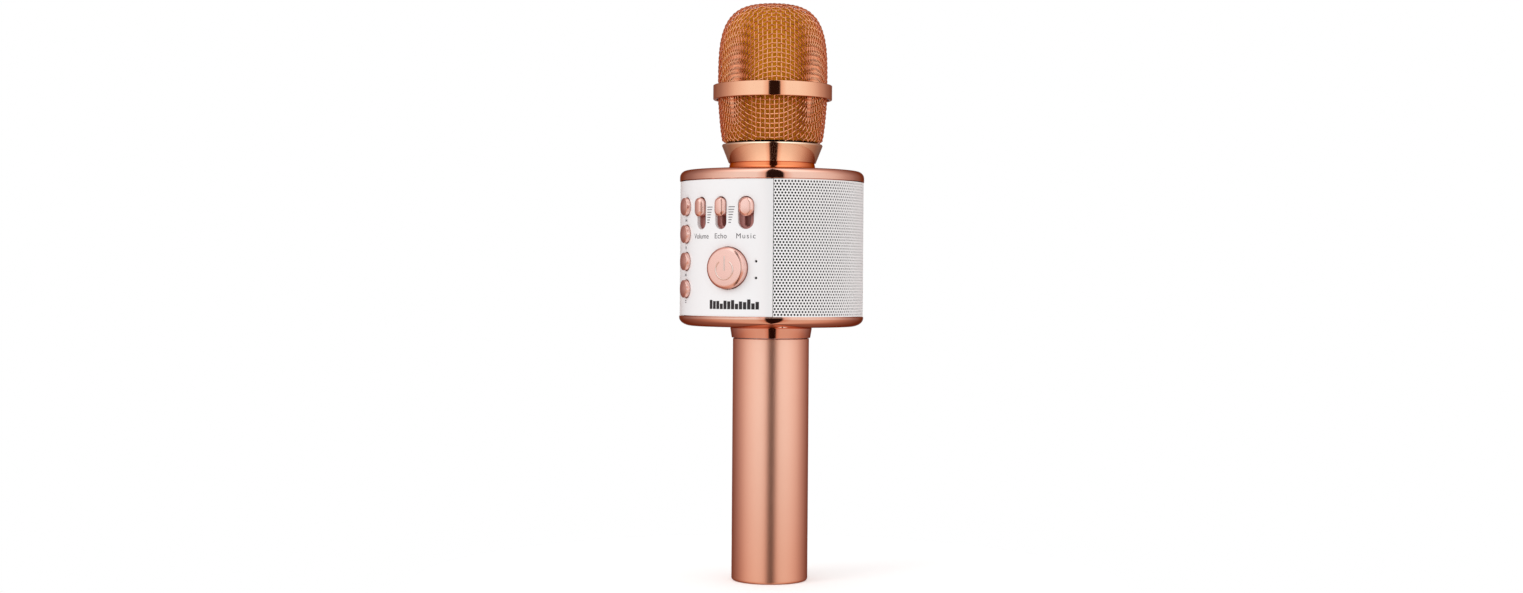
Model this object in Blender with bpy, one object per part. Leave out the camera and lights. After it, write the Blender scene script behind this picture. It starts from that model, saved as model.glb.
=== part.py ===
"""Karaoke microphone with a built-in loudspeaker, every piece its own solid.

The object stands on the flat end of its handle. +Z runs up the handle, the origin is
the centre of the handle's end face, and the middle of the control panel faces -Y.
An azimuth is an angle in degrees about +Z: 0 is -Y, and 90 is +X.
Sizes are in millimetres in this file; finish() makes the objects in metres.
"""
import math

import bmesh
import bpy
from mathutils import Matrix, Vector

MM = 0.001
GAP = 0.3  # clearance between pieces that touch
HEAD_STEPS = 32  # facets round the head and the handle
BODY_STEPS = 48  # facets round the loudspeaker housing
SMALL_STEPS = 14  # facets round buttons and screws
SHARP_ANGLE = math.radians(35)

# Handle
HANDLE_RADIUS = 17.15
HANDLE_WALL = 1.2
HANDLE_FILLET = 1.3
HANDLE_FLOOR = 2.0
HANDLE_TOP = 109.3
COLLAR_TOP = 114.5
COLLAR_RADIUS_LOW = 17.7
COLLAR_RADIUS_HIGH = 18.4
STUB_RADIUS = HANDLE_RADIUS - HANDLE_WALL - 0.35
STUB_BOTTOM = 97.3
STUB_WALL = 2.0
CRADLE_LOW = 8.0
CRADLE_HIGH = 84.0
CELL_RADIUS = 9.2
CELL_LENGTH = 65.0

# Loudspeaker housing
BODY_RADIUS = 41.25
CAP_RADIUS = 41.5
SHELL_LOW = 119.0  # lower and upper edge of the shell between the two caps
SHELL_HIGH = 179.3
SHELL_WALL = 1.65
GRILLE_WALL = 0.8
CAP_TOP = 184.1
CAP_PLATE = 2.8
CAP_HOLE = 16.0
TOP_EDGE = (2.95, 3.1)  # half axes of the rounded edge on each cap
BOTTOM_EDGE = (6.0, 3.8)
RIM_OUTER = 39.2  # rim on each cap that centres the shell
RIM_INNER = 37.8
RIM_HEIGHT = 2.0
PANEL_HALF_ANGLE = 41.0
PORT_HALF_ANGLE = 30.0
SEAM_ANGLE = 0.2  # half of the seam between neighbouring shell parts

# Controls: columns by azimuth, rows by height
SLIDERS = {"volume": -8.5, "echo": 7.4, "music": 24.2}
SLOT_WIDTHS = {"volume": 5.7, "echo": 5.7, "music": 7.1}
SLOT_LENGTH = 14.2
SLOT_HEIGHT = 164.35
KNOB_MARGIN = 0.4  # between a knob's side and the side of its slot
KNOB_LENGTH = 8.2
KNOB_BEVEL = 0.6
SLIDER_TRAVEL = 5.0
POT_MARGIN = 0.5  # how far a slide pot's body reaches beyond the sides of its slot
POT_LENGTH = 21.0
BUTTON_AZIMUTH = -26.3
BUTTON_TOP_HEIGHT = 167.4
BUTTON_PITCH = 12.1
BUTTON_COUNT = 4
BUTTON_RADIUS = 3.9
POWER_AZIMUTH = 13.2
POWER_HEIGHT = 140.3
POWER_RADIUS = 9.05
BUTTON_FLANGE = 0.8  # how far a button's flange reaches beyond its face
LED_AZIMUTH = 30.7
LED_HEIGHTS = {"upper": 143.3, "lower": 136.1}
LED_HOLE_RADIUS = 0.55
LAMP_RADIUS = 1.1
CARRIER_RADIUS = 32.6
CARRIER_WALL = 2.0
SWITCH_FOOT = CARRIER_RADIUS + 0.4  # distance from the axis to a switch's underside

# Inside the housing
CHASSIS_X = 26.0
CHASSIS_Y = 22.0
CHASSIS_WALL = 2.0
DRIVER_HEIGHT = 149.1
DRIVER_RADIUS = 20.0
DRIVER_OPENING = 18.4
BOARD_DISTANCE = 21.5
BOARD_THICKNESS = 1.6
LEAD_END_Y = 1.0 - BOARD_DISTANCE  # leads stop just behind the main board
POWER_LEAD_RADIUS = 1.2
SPEAKER_LEAD_RADIUS = 0.8
TIE_AZIMUTHS = (48.0, 132.0, -132.0, -48.0)
TIE_DISTANCE = 36.0
TIE_RADIUS = 1.25
TIE_HEAD_RADIUS = 2.4
TIE_HEAD_HEIGHT = 1.2
TIE_HEAD_DEPTH = 0.6  # how far each screw's head sits inside the lower cap
TIE_SEAT_GAP = 0.2
PORT_AZIMUTH = 180.0
USB_HEIGHT = 137.3
USB_OPENING = (8.4, 3.6)
JACK_HEIGHT = 149.3
JACK_OPENING = 3.4
PORT_FOOT = 32.7  # distance from the axis to the underside of both sockets

# Neck and head
NECK_RADIUS = 19.3
NECK_FLARE = 21.7
NECK_FLARE_HEIGHT = 2.2
NECK_TOP = 187.5
NECK_PLUG_DEPTH = 5.8
SPIGOT_RADIUS = 17.2
SPIGOT_BORE = 13.0
SPIGOT_TOP = 194.5
CAPSULE_RADIUS = 11.6
CAPSULE_LOW = 201.0
CAPSULE_TOP = 222.3
HEAD_COLLAR_LOW = 19.6
HEAD_COLLAR_HIGH = 22.7
HEAD_COLLAR_BORE = 20.3
HEAD_COLLAR_TOP = 196.2
RING_LOW = 216.3
RING_HIGH = 222.8
RING_RADIUS = 26.8
RING_BORE = 25.3
RING_BEVEL = 0.3
WEB_LOW = 218.8  # flat web inside the band, between the two meshes
WEB_HIGH = 220.3
WEB_BORE = 21.5
MESH_WALL = 1.2
BASKET_FOOT = 21.9
BASKET_SWELL = 2.8
DOME_RADIUS = 24.75
DOME_SHOULDER = 223.3
DOME_TOP = 259.3
DOME_POWER = 3.35  # exponent of the dome's superellipse
FOAM_SPACE = 0.5
FOAM_WALL = 3.0

# Colour, roughness and metallic value of each finish
FINISHES = {
    "rose_chrome": ((0.80, 0.45, 0.32, 1), 0.08, 1.0),
    "rose_satin": ((0.82, 0.50, 0.40, 1), 0.32, 1.0),
    "white_gloss": ((0.88, 0.87, 0.87, 1), 0.15, 0.0),
    "white_steel": ((0.86, 0.85, 0.85, 1), 0.35, 0.0),
    "rose_mesh": ((0.72, 0.40, 0.30, 1), 0.25, 1.0),
    "gold_foam": ((0.42, 0.22, 0.04, 1), 0.95, 0.0),
    "black_plastic": ((0.02, 0.02, 0.02, 1), 0.5, 0.0),
    "grey_steel": ((0.45, 0.45, 0.46, 1), 0.35, 1.0),
    "green_board": ((0.02, 0.16, 0.06, 1), 0.5, 0.0),
    "black_paper": ((0.03, 0.03, 0.03, 1), 0.8, 0.0),
    "black_rubber": ((0.02, 0.02, 0.02, 1), 0.7, 0.0),
    "blue_wrap": ((0.05, 0.16, 0.45, 1), 0.4, 0.0),
    "clear_lens": ((0.75, 0.80, 0.85, 1), 0.1, 0.0),
}


def start_empty():
    """Remove whatever objects the scene holds."""
    for obj in list(bpy.data.objects):
        bpy.data.objects.remove(obj, do_unlink=True)


def material(finish):
    """The Principled material of one finish, made once."""
    found = bpy.data.materials.get(finish)
    if found:
        return found
    colour, roughness, metallic = FINISHES[finish]
    made = bpy.data.materials.new(finish)
    made.use_nodes = True
    shader = made.node_tree.nodes["Principled BSDF"]
    shader.inputs["Base Color"].default_value = colour
    shader.inputs["Roughness"].default_value = roughness
    shader.inputs["Metallic"].default_value = metallic
    made.diffuse_color = colour
    return made


def facing(azimuth, height=0.0):
    """Local frame on the axis: X runs round to the right, Y up, Z out at an azimuth."""
    angle = math.radians(azimuth)
    right = Vector((math.cos(angle), math.sin(angle), 0))
    out = Vector((math.sin(angle), -math.cos(angle), 0))
    turned = Matrix((right, Vector((0, 0, 1)), out)).transposed().to_4x4()
    return Matrix.Translation((0, 0, height)) @ turned


def polar(radius, azimuth, height):
    """Point at a distance from the axis."""
    return facing(azimuth, height) @ Vector((0, 0, radius))


def arc(centre, radii, begin, end, count):
    """Points on an elliptical arc between two angles in degrees."""
    angles = [math.radians(begin + (end - begin) * i / count) for i in range(count + 1)]
    return [
        (centre[0] + radii[0] * math.cos(a), centre[1] + radii[1] * math.sin(a))
        for a in angles
    ]


def box_outline(width, height):
    """Rectangle about the origin."""
    x, y = width / 2, height / 2
    return [(-x, -y), (x, -y), (x, y), (-x, y)]


def round_outline(radius, count=SMALL_STEPS):
    """Regular polygon that stands for a circle."""
    return arc((0, 0), (radius, radius), 0, 360, count)[:-1]


def stadium_outline(width, height, count=6):
    """Upright slot with half-round ends."""
    radius = width / 2
    middle = height / 2 - radius
    upper = arc((0, middle), (radius, radius), 0, 180, count)
    lower = arc((0, -middle), (radius, radius), 180, 360, count)
    return upper + lower


def loft(bm, layers, place=Matrix()):
    """Closed solid through outlines of equal length, each at its own local depth."""
    rings = [
        [bm.verts.new(place @ Vector((x, y, depth))) for x, y in outline]
        for outline, depth in layers
    ]
    count = len(rings[0])
    for low, high in zip(rings, rings[1:]):
        for i in range(count):
            j = (i + 1) % count
            bm.faces.new((low[i], low[j], high[j], high[i]))
    bm.faces.new(list(reversed(rings[0])))
    bm.faces.new(rings[-1])


def turn(bm, section, steps, place=Matrix(), middle=0.0, span=360.0):
    """Revolve a closed section of (radius, height) points about the local Z axis.

    A part turn is centred on the azimuth 'middle' and closed at both ends.
    """
    whole = span >= 360.0
    rings = []
    for i in range(steps if whole else steps + 1):
        angle = math.radians(middle - span / 2 + span * i / steps)
        x, y = math.sin(angle), -math.cos(angle)
        rings.append([bm.verts.new(place @ Vector((r * x, r * y, z))) for r, z in section])
    following = rings[1:] + rings[:1] if whole else rings[1:]
    for near, far in zip(rings, following):
        for i in range(len(section)):
            j = (i + 1) % len(section)
            if section[i][0] or section[j][0]:
                bm.faces.new((near[i], far[i], far[j], near[j]))
    if not whole:
        bm.faces.new(list(reversed(rings[0])))
        bm.faces.new(rings[-1])


def finish(name, bm, look, place=Matrix()):
    """Turn a mesh drawn in millimetres into an object in metres, linked to the scene."""
    bmesh.ops.remove_doubles(bm, verts=bm.verts, dist=0.001)
    bmesh.ops.recalc_face_normals(bm, faces=bm.faces)
    bmesh.ops.scale(bm, vec=(MM, MM, MM), verts=bm.verts)
    mesh = bpy.data.meshes.new(name)
    bm.to_mesh(mesh)
    bm.free()
    mesh.materials.append(material(look))
    mesh.shade_smooth()
    mesh.set_sharp_from_angle(angle=SHARP_ANGLE)
    obj = bpy.data.objects.new(name, mesh)
    bpy.context.scene.collection.objects.link(obj)
    metres = place.copy()
    metres.translation = place.translation * MM
    obj.matrix_world = metres
    return obj


def lathe(name, look, section, steps=HEAD_STEPS, place=Matrix(), middle=0.0, span=360.0):
    """Turned piece as its own object."""
    bm = bmesh.new()
    turn(bm, section, steps, middle=middle, span=span)
    return finish(name, bm, look, place)


def solid(name, look, layers, place=Matrix()):
    """Lofted piece as its own object."""
    bm = bmesh.new()
    loft(bm, layers)
    return finish(name, bm, look, place)


def cut(target, shapes):
    """Cut lofted shapes, each (layers, place), out of an object."""
    bm = bmesh.new()
    for layers, place in shapes:
        loft(bm, layers, place)
    cutter = finish("cutter_" + target.name, bm, "black_plastic")
    cutter.hide_render = True
    cutter.display_type = "WIRE"
    modifier = target.modifiers.new("holes", "BOOLEAN")
    modifier.operation = "DIFFERENCE"
    modifier.solver = "EXACT"
    modifier.object = cutter


def through(outline, near, far, azimuth, height):
    """Straight cut of one outline between two distances from the axis."""
    return [(outline, near), (outline, far)], facing(azimuth, height)


def smooth_route(points, count):
    """Catmull-Rom curve through the points of a lead's route."""
    knots = [Vector(p) for p in points]
    knots = [2 * knots[0] - knots[1]] + knots + [2 * knots[-1] - knots[-2]]
    route = []
    for i in range(1, len(knots) - 2):
        a, b, c, d = knots[i - 1 : i + 3]
        for step in range(count):
            t = step / count
            route.append(
                0.5 * (2 * b + (c - a) * t + (2 * a - 5 * b + 4 * c - d) * t**2)
                + 0.5 * (3 * b - a - 3 * c + d) * t**3
            )
    return route + [knots[-2]]


def lead(name, points, radius, look="black_rubber"):
    """Insulated lead along a smooth route."""
    curve = bpy.data.curves.new(name, "CURVE")
    curve.dimensions = "3D"
    curve.bevel_depth = radius * MM
    curve.bevel_resolution = 2
    curve.use_fill_caps = True
    route = smooth_route(points, 4)
    spline = curve.splines.new("POLY")
    spline.points.add(len(route) - 1)
    for point, place in zip(spline.points, route):
        point.co = (*(place * MM), 1)
    curve.materials.append(material(look))
    obj = bpy.data.objects.new(name, curve)
    bpy.context.scene.collection.objects.link(obj)


def dome_section(outer, top, foot, wall, count=9):
    """Closed section of a superelliptic dome with a straight skirt."""

    def side(radius, height):
        rise = height - DOME_SHOULDER
        points = []
        for i in range(count + 1):
            angle = math.radians(90 * i / count)
            r = radius * math.cos(angle) ** (2 / DOME_POWER) if i < count else 0.0
            points.append((r, DOME_SHOULDER + rise * math.sin(angle) ** (2 / DOME_POWER)))
        return [(radius, foot)] + points

    outside = side(outer, top)
    inside = side(outer - wall, top - wall)
    return outside + list(reversed(inside))


def basket_radius(height):
    """Outer radius of the lower mesh, which swells quickly above its collar."""
    share = (height - HEAD_COLLAR_TOP) / (RING_LOW - HEAD_COLLAR_TOP)
    return BASKET_FOOT + BASKET_SWELL * math.sqrt(min(max(share, 0.0), 1.0))


def basket_section(inset, foot, top, wall, count=5):
    """Closed section that follows the lower mesh at an inset from its outside."""
    heights = [foot + (top - foot) * (i / count) ** 1.6 for i in range(count + 1)]
    outside = [(basket_radius(z) - inset, z) for z in heights]
    inside = [(r - wall, z) for r, z in reversed(outside)]
    return outside + inside


def make_handle():
    """Tube, collar, inner stub and the battery in its cradle."""
    wall = HANDLE_RADIUS - HANDLE_WALL
    rounding = arc(
        (HANDLE_RADIUS - HANDLE_FILLET, HANDLE_FILLET), (HANDLE_FILLET,) * 2, -90, 0, 4
    )
    lathe("handle_tube", "rose_satin", [(0, 0)] + rounding
          + [(HANDLE_RADIUS, HANDLE_TOP - GAP), (wall, HANDLE_TOP - GAP),
             (wall, HANDLE_FLOOR), (0, HANDLE_FLOOR)])
    stub_hole = STUB_RADIUS + 0.35
    lathe("handle_collar", "rose_chrome", [
        (stub_hole, HANDLE_TOP), (COLLAR_RADIUS_LOW, HANDLE_TOP),
        (COLLAR_RADIUS_HIGH, COLLAR_TOP - 0.8), (COLLAR_RADIUS_HIGH - 0.3, COLLAR_TOP - GAP),
        (stub_hole, COLLAR_TOP - GAP)])
    plate_top = COLLAR_TOP + CAP_PLATE
    stub_bore, stub_flange = STUB_RADIUS - STUB_WALL, STUB_RADIUS + 3.5
    lathe("handle_stub", "grey_steel", [
        (stub_bore, STUB_BOTTOM), (STUB_RADIUS, STUB_BOTTOM), (STUB_RADIUS, plate_top + GAP),
        (stub_flange, plate_top + GAP), (stub_flange, plate_top + STUB_WALL),
        (stub_bore, plate_top + STUB_WALL)])


def make_battery():
    """Cylindrical cell in a half-round cradle, with its spring and lead."""
    end_wall, notch = 2.0, 2.0
    tray_in = CELL_RADIUS + 0.4
    tray_out = tray_in + 1.8
    inner_low, inner_high = CRADLE_LOW + end_wall, CRADLE_HIGH - end_wall
    lathe("battery_cradle", "black_plastic", [
        (notch, CRADLE_LOW), (tray_out, CRADLE_LOW), (tray_out, CRADLE_HIGH),
        (notch, CRADLE_HIGH), (notch, inner_high), (tray_in, inner_high),
        (tray_in, inner_low), (notch, inner_low)], steps=12, middle=180, span=180)
    cell_low = inner_low + GAP
    cell_high = cell_low + CELL_LENGTH
    button_radius, shoulder = 3.0, cell_high - 1.5
    lathe("battery_cell", "blue_wrap", [
        (0, cell_low), (CELL_RADIUS, cell_low), (CELL_RADIUS, shoulder),
        (button_radius, shoulder), (button_radius, cell_high), (0, cell_high)], steps=24)
    spring_top = inner_high - GAP
    lathe("battery_spring", "grey_steel", [
        (1.5, cell_high + GAP), (2.5, cell_high + GAP), (6, spring_top), (5, spring_top)],
        steps=16)
    lead("battery_lead", [
        (0, -5, CRADLE_HIGH + 1.5), (0, -6, STUB_BOTTOM + 4), (0, -6, COLLAR_TOP + 5),
        (-6, -13, COLLAR_TOP + 12), (-8, LEAD_END_Y, COLLAR_TOP + 16)], POWER_LEAD_RADIUS)


def make_caps():
    """Chromed caps that close the housing, held together by four long screws."""
    corner = (CAP_RADIUS - TOP_EDGE[0], CAP_TOP - TOP_EDGE[1])
    top = lathe("top_cap", "rose_chrome", [(CAP_HOLE, CAP_TOP)]
                + arc(corner, TOP_EDGE, 90, 0, 5)
                + [(CAP_RADIUS, SHELL_HIGH), (RIM_OUTER, SHELL_HIGH),
                   (RIM_OUTER, SHELL_HIGH - RIM_HEIGHT), (RIM_INNER, SHELL_HIGH - RIM_HEIGHT),
                   (RIM_INNER, CAP_TOP - CAP_PLATE), (CAP_HOLE, CAP_TOP - CAP_PLATE)],
                steps=BODY_STEPS)
    corner = (CAP_RADIUS - BOTTOM_EDGE[0], COLLAR_TOP + BOTTOM_EDGE[1])
    bottom = lathe("bottom_cap", "rose_chrome", [(CAP_HOLE, COLLAR_TOP)]
                   + arc(corner, BOTTOM_EDGE, -90, 0, 5)
                   + [(CAP_RADIUS, SHELL_LOW), (RIM_OUTER, SHELL_LOW),
                      (RIM_OUTER, SHELL_LOW + RIM_HEIGHT), (RIM_INNER, SHELL_LOW + RIM_HEIGHT),
                      (RIM_INNER, COLLAR_TOP + CAP_PLATE), (CAP_HOLE, COLLAR_TOP + CAP_PLATE)],
                   steps=BODY_STEPS)
    hole = round_outline(TIE_RADIUS + GAP, 12)
    seat = round_outline(TIE_HEAD_RADIUS + GAP, 12)
    head_low = COLLAR_TOP + TIE_HEAD_DEPTH
    head_high = head_low + TIE_HEAD_HEIGHT
    seat_top = head_high + TIE_SEAT_GAP
    hole_top = CAP_TOP - 1.0
    screw_top = hole_top - 0.5
    lower, upper = [], []
    for azimuth in TIE_AZIMUTHS:
        at = Matrix.Translation(polar(TIE_DISTANCE, azimuth, 0))
        lower.append(([(seat, COLLAR_TOP - 1), (seat, seat_top), (hole, seat_top),
                       (hole, SHELL_LOW)], at))
        upper.append(([(hole, CAP_TOP - CAP_PLATE - 1), (hole, hole_top)], at))
    cut(bottom, lower)
    cut(top, upper)
    for number, azimuth in enumerate(TIE_AZIMUTHS, start=1):
        lathe(f"body_screw_{number}", "grey_steel", [
            (0, head_low), (TIE_HEAD_RADIUS, head_low), (TIE_HEAD_RADIUS, head_high),
            (TIE_RADIUS, head_high), (TIE_RADIUS, screw_top), (0, screw_top)],
            steps=10, place=Matrix.Translation(polar(TIE_DISTANCE, azimuth, 0)))


def shell_part(name, look, middle, half_angle, wall, steps):
    """Curved plate between the caps."""
    span = 2 * (half_angle - SEAM_ANGLE)
    return lathe(name, look, [
        (BODY_RADIUS - wall, SHELL_LOW + GAP), (BODY_RADIUS, SHELL_LOW + GAP),
        (BODY_RADIUS, SHELL_HIGH - GAP), (BODY_RADIUS - wall, SHELL_HIGH - GAP)],
        steps=steps, middle=middle, span=span)


def make_shell():
    """Control panel at the front, port panel at the rear and a grille on each side."""
    inside, outside = BODY_RADIUS - 6, BODY_RADIUS + 3
    panel = shell_part("control_panel", "white_gloss", 0, PANEL_HALF_ANGLE, SHELL_WALL, 20)
    shapes = [through(stadium_outline(SLOT_WIDTHS[name], SLOT_LENGTH), inside, outside,
                      azimuth, SLOT_HEIGHT) for name, azimuth in SLIDERS.items()]
    for row in range(BUTTON_COUNT):
        shapes.append(through(round_outline(BUTTON_RADIUS + GAP), inside, outside,
                              BUTTON_AZIMUTH, BUTTON_TOP_HEIGHT - row * BUTTON_PITCH))
    shapes.append(through(round_outline(POWER_RADIUS + GAP, 24), inside, outside,
                          POWER_AZIMUTH, POWER_HEIGHT))
    for height in LED_HEIGHTS.values():
        shapes.append(through(round_outline(LED_HOLE_RADIUS, 8), inside, outside,
                              LED_AZIMUTH, height))
    cut(panel, shapes)
    port = shell_part("port_panel", "white_gloss", PORT_AZIMUTH, PORT_HALF_ANGLE,
                      SHELL_WALL, 14)
    cut(port, [through(box_outline(*USB_OPENING), inside, outside, PORT_AZIMUTH, USB_HEIGHT),
               through(round_outline(JACK_OPENING), inside, outside, PORT_AZIMUTH,
                       JACK_HEIGHT)])
    reach = (180 - PANEL_HALF_ANGLE - PORT_HALF_ANGLE) / 2
    for side, sign in (("right", 1), ("left", -1)):
        middle = sign * (PANEL_HALF_ANGLE + reach)
        shell_part(f"speaker_grille_{side}", "white_steel", middle, reach, GRILLE_WALL, 26)


def make_controls():
    """Sliders, push buttons and lamps, with the switches behind them on a carrier."""
    low, high = SHELL_LOW + 3.3, SHELL_HIGH - 3
    lathe("control_carrier", "black_plastic", [
        (CARRIER_RADIUS - CARRIER_WALL, low), (CARRIER_RADIUS, low),
        (CARRIER_RADIUS, high), (CARRIER_RADIUS - CARRIER_WALL, high)], steps=12, span=72)
    knob_height = SLOT_HEIGHT + SLIDER_TRAVEL / 2
    pot_top, lever_foot, cap_foot, cap_top = 38.0, 35.5, 38.9, 43.6
    groove, lever = stadium_outline(2.8, 12.0), stadium_outline(1.8, 3.6)
    for name, azimuth in SLIDERS.items():
        pot_outline = box_outline(SLOT_WIDTHS[name] + 2 * POT_MARGIN, POT_LENGTH)
        knob_width = SLOT_WIDTHS[name] - 2 * KNOB_MARGIN
        cap = stadium_outline(knob_width, KNOB_LENGTH)
        crown = stadium_outline(knob_width - 2 * KNOB_BEVEL, KNOB_LENGTH - 2 * KNOB_BEVEL)
        pot = solid(f"{name}_slide_pot", "grey_steel", [
            (pot_outline, SWITCH_FOOT), (pot_outline, pot_top)],
            facing(azimuth, SLOT_HEIGHT))
        cut(pot, [through(groove, lever_foot - 1, pot_top + 1, azimuth, SLOT_HEIGHT)])
        solid(f"{name}_knob", "rose_chrome", [
            (lever, lever_foot), (lever, cap_foot), (cap, cap_foot),
            (cap, cap_top - KNOB_BEVEL), (crown, cap_top)], facing(azimuth, knob_height))
    for row in range(BUTTON_COUNT):
        height = BUTTON_TOP_HEIGHT - row * BUTTON_PITCH
        push_button(f"button_{row + 1}", BUTTON_RADIUS, BUTTON_AZIMUTH, height,
                    flange=(38.0, 39.0), shoulder=42.9, crown=43.5, bevel=0.3,
                    steps=SMALL_STEPS)
        tact_switch(f"button_{row + 1}_switch", BUTTON_AZIMUTH, height, 36.4, 37.0)
    push_button("power_button", POWER_RADIUS, POWER_AZIMUTH, POWER_HEIGHT,
                flange=(37.2, 38.0), shoulder=44.2, crown=44.6, bevel=0.6, steps=32)
    tact_switch("power_switch", POWER_AZIMUTH, POWER_HEIGHT, 35.9, 36.4)
    lamp_foot, lamp_top = 36.8, 39.2
    for place, height in LED_HEIGHTS.items():
        lathe(f"lamp_{place}", "clear_lens", [
            (0, lamp_foot), (LAMP_RADIUS, lamp_foot), (LAMP_RADIUS, lamp_top), (0, lamp_top)],
            steps=10, place=facing(LED_AZIMUTH, height))


def push_button(name, radius, azimuth, height, flange, shoulder, crown, bevel, steps):
    """Bevelled, slightly domed button with a flange that keeps it behind the panel."""
    wide = radius + BUTTON_FLANGE
    lathe(name, "rose_chrome", [
        (0, flange[0]), (wide, flange[0]), (wide, flange[1]), (radius, flange[1]),
        (radius, shoulder - bevel), (radius - bevel, shoulder),
        (radius * 0.5, shoulder + 0.8 * (crown - shoulder)), (0, crown)],
        steps=steps, place=facing(azimuth, height))


def tact_switch(name, azimuth, height, body_top, stem_top):
    """Square switch with a short stem under a button."""
    body, stem = box_outline(6, 6), box_outline(3.2, 3.2)
    solid(name, "black_plastic", [(body, SWITCH_FOOT), (body, body_top), (stem, body_top),
                                  (stem, stem_top)], facing(azimuth, height))


def make_drivers():
    """Chassis channel with a loudspeaker driver on each side, and their leads."""
    x, y, wall = CHASSIS_X, CHASSIS_Y, CHASSIS_WALL
    channel = [(-x, -y), (-x + wall, -y), (-x + wall, y - wall), (x - wall, y - wall),
               (x - wall, -y), (x, -y), (x, y), (-x, y)]
    chassis = solid("speaker_chassis", "black_plastic", [
        (channel, COLLAR_TOP + CAP_PLATE + GAP), (channel, CAP_TOP - CAP_PLATE - GAP)])
    opening = round_outline(DRIVER_OPENING, 24)
    cut(chassis, [through(opening, x - 2 * wall, x + wall, side, DRIVER_HEIGHT)
                  for side in (90, -90)])
    front = x + GAP
    for side, azimuth in (("right", 90), ("left", -90)):
        place = facing(azimuth, DRIVER_HEIGHT)
        lathe(f"driver_{side}", "grey_steel", [
            (0, 8), (11, 8), (11, 15.5), (13, 16.5), (18, front - 1), (18, front),
            (DRIVER_RADIUS, front), (DRIVER_RADIUS, front + 1.5), (17.7, front + 1.5),
            (17.2, front - 0.5), (12, 17.5), (0, 17.5)], steps=24, place=place)
        lathe(f"driver_cone_{side}", "black_paper", [
            (0, 21.5), (4.4, 20.3), (4.4, 18.8), (5, 18.8), (5, 20.6), (16.9, front + 0.6),
            (16.9, front + 1.2), (5.2, 21.4), (3, 22.6), (0, 23)], steps=20, place=place)
        sign = 1 if side == "right" else -1
        lead(f"speaker_lead_{side}", [
            (sign * 17, -14.3, DRIVER_HEIGHT - 2), (sign * 16.5, -16.5, DRIVER_HEIGHT - 7),
            (sign * 15, -18.5, DRIVER_HEIGHT - 10),
            (sign * 14, LEAD_END_Y, DRIVER_HEIGHT - 11)], SPEAKER_LEAD_RADIUS)


def make_boards():
    """Main board behind the controls, and the rear board with its sockets."""
    board = box_outline(44, 54)
    solid("main_board", "green_board", [
        (board, BOARD_DISTANCE), (board, BOARD_DISTANCE + BOARD_THICKNESS)],
        facing(0, DRIVER_HEIGHT))
    rear, mouth, rear_top = box_outline(22, 30), BODY_RADIUS - 0.7, PORT_FOOT - GAP
    solid("port_board", "green_board", [(rear, rear_top - BOARD_THICKNESS), (rear, rear_top)],
          facing(PORT_AZIMUTH, (USB_HEIGHT + JACK_HEIGHT) / 2))
    width, height = (size - 0.7 for size in USB_OPENING)
    wall, depth = 0.4, 5.0
    shell, bore = box_outline(width, height), box_outline(width - 2 * wall, height - 2 * wall)
    usb = solid("usb_socket", "grey_steel", [(shell, PORT_FOOT), (shell, mouth)],
                facing(PORT_AZIMUTH, USB_HEIGHT))
    cut(usb, [through(bore, mouth - depth, mouth + 1, PORT_AZIMUTH, USB_HEIGHT)])
    barrel, hole, floor = JACK_OPENING - GAP, 1.8, PORT_FOOT + 1.0
    lathe("audio_jack", "black_plastic", [
        (0, PORT_FOOT), (barrel, PORT_FOOT), (barrel, mouth), (hole, mouth), (hole, floor),
        (0, floor)], steps=16, place=facing(PORT_AZIMUTH, JACK_HEIGHT))


def make_neck():
    """Threaded neck, with the microphone capsule in its rubber mount."""
    foot, plug = CAP_TOP + GAP, CAP_TOP - NECK_PLUG_DEPTH
    flare = arc((NECK_FLARE, foot + NECK_FLARE_HEIGHT),
                (NECK_FLARE - NECK_RADIUS, NECK_FLARE_HEIGHT), 270, 180, 3)
    lathe("neck_ring", "rose_chrome", [(SPIGOT_BORE, plug)]
          + [(CAP_HOLE - GAP, plug), (CAP_HOLE - GAP, foot)] + flare
          + [(NECK_RADIUS, NECK_TOP), (SPIGOT_RADIUS, NECK_TOP), (SPIGOT_RADIUS, SPIGOT_TOP),
             (SPIGOT_BORE, SPIGOT_TOP)])
    boot_low, boot_high, boot_bore = NECK_TOP + 1.3, CAPSULE_LOW - 0.4, 9.0
    stem, stem_low = boot_bore - GAP, boot_low + 2
    lathe("capsule_boot", "black_rubber", [
        (boot_bore, boot_low), (SPIGOT_BORE - GAP, boot_low),
        (SPIGOT_BORE - GAP, boot_high - 0.8), (boot_bore + 1, boot_high),
        (boot_bore, boot_high)], steps=24)
    lathe("mic_capsule", "grey_steel", [
        (0, stem_low), (stem, stem_low), (stem, CAPSULE_LOW), (CAPSULE_RADIUS, CAPSULE_LOW),
        (CAPSULE_RADIUS, CAPSULE_TOP - 2), (CAPSULE_RADIUS - 1.2, CAPSULE_TOP),
        (0, CAPSULE_TOP)], steps=24)
    lead("mic_lead", [
        (0, 0, stem_low - 0.4), (0, 0, CAP_TOP + 0.2), (1.5, -7, CAP_TOP - 6),
        (3, -15, CAP_TOP - 11), (4, LEAD_END_Y, CAP_TOP - 14)], POWER_LEAD_RADIUS)


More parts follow.
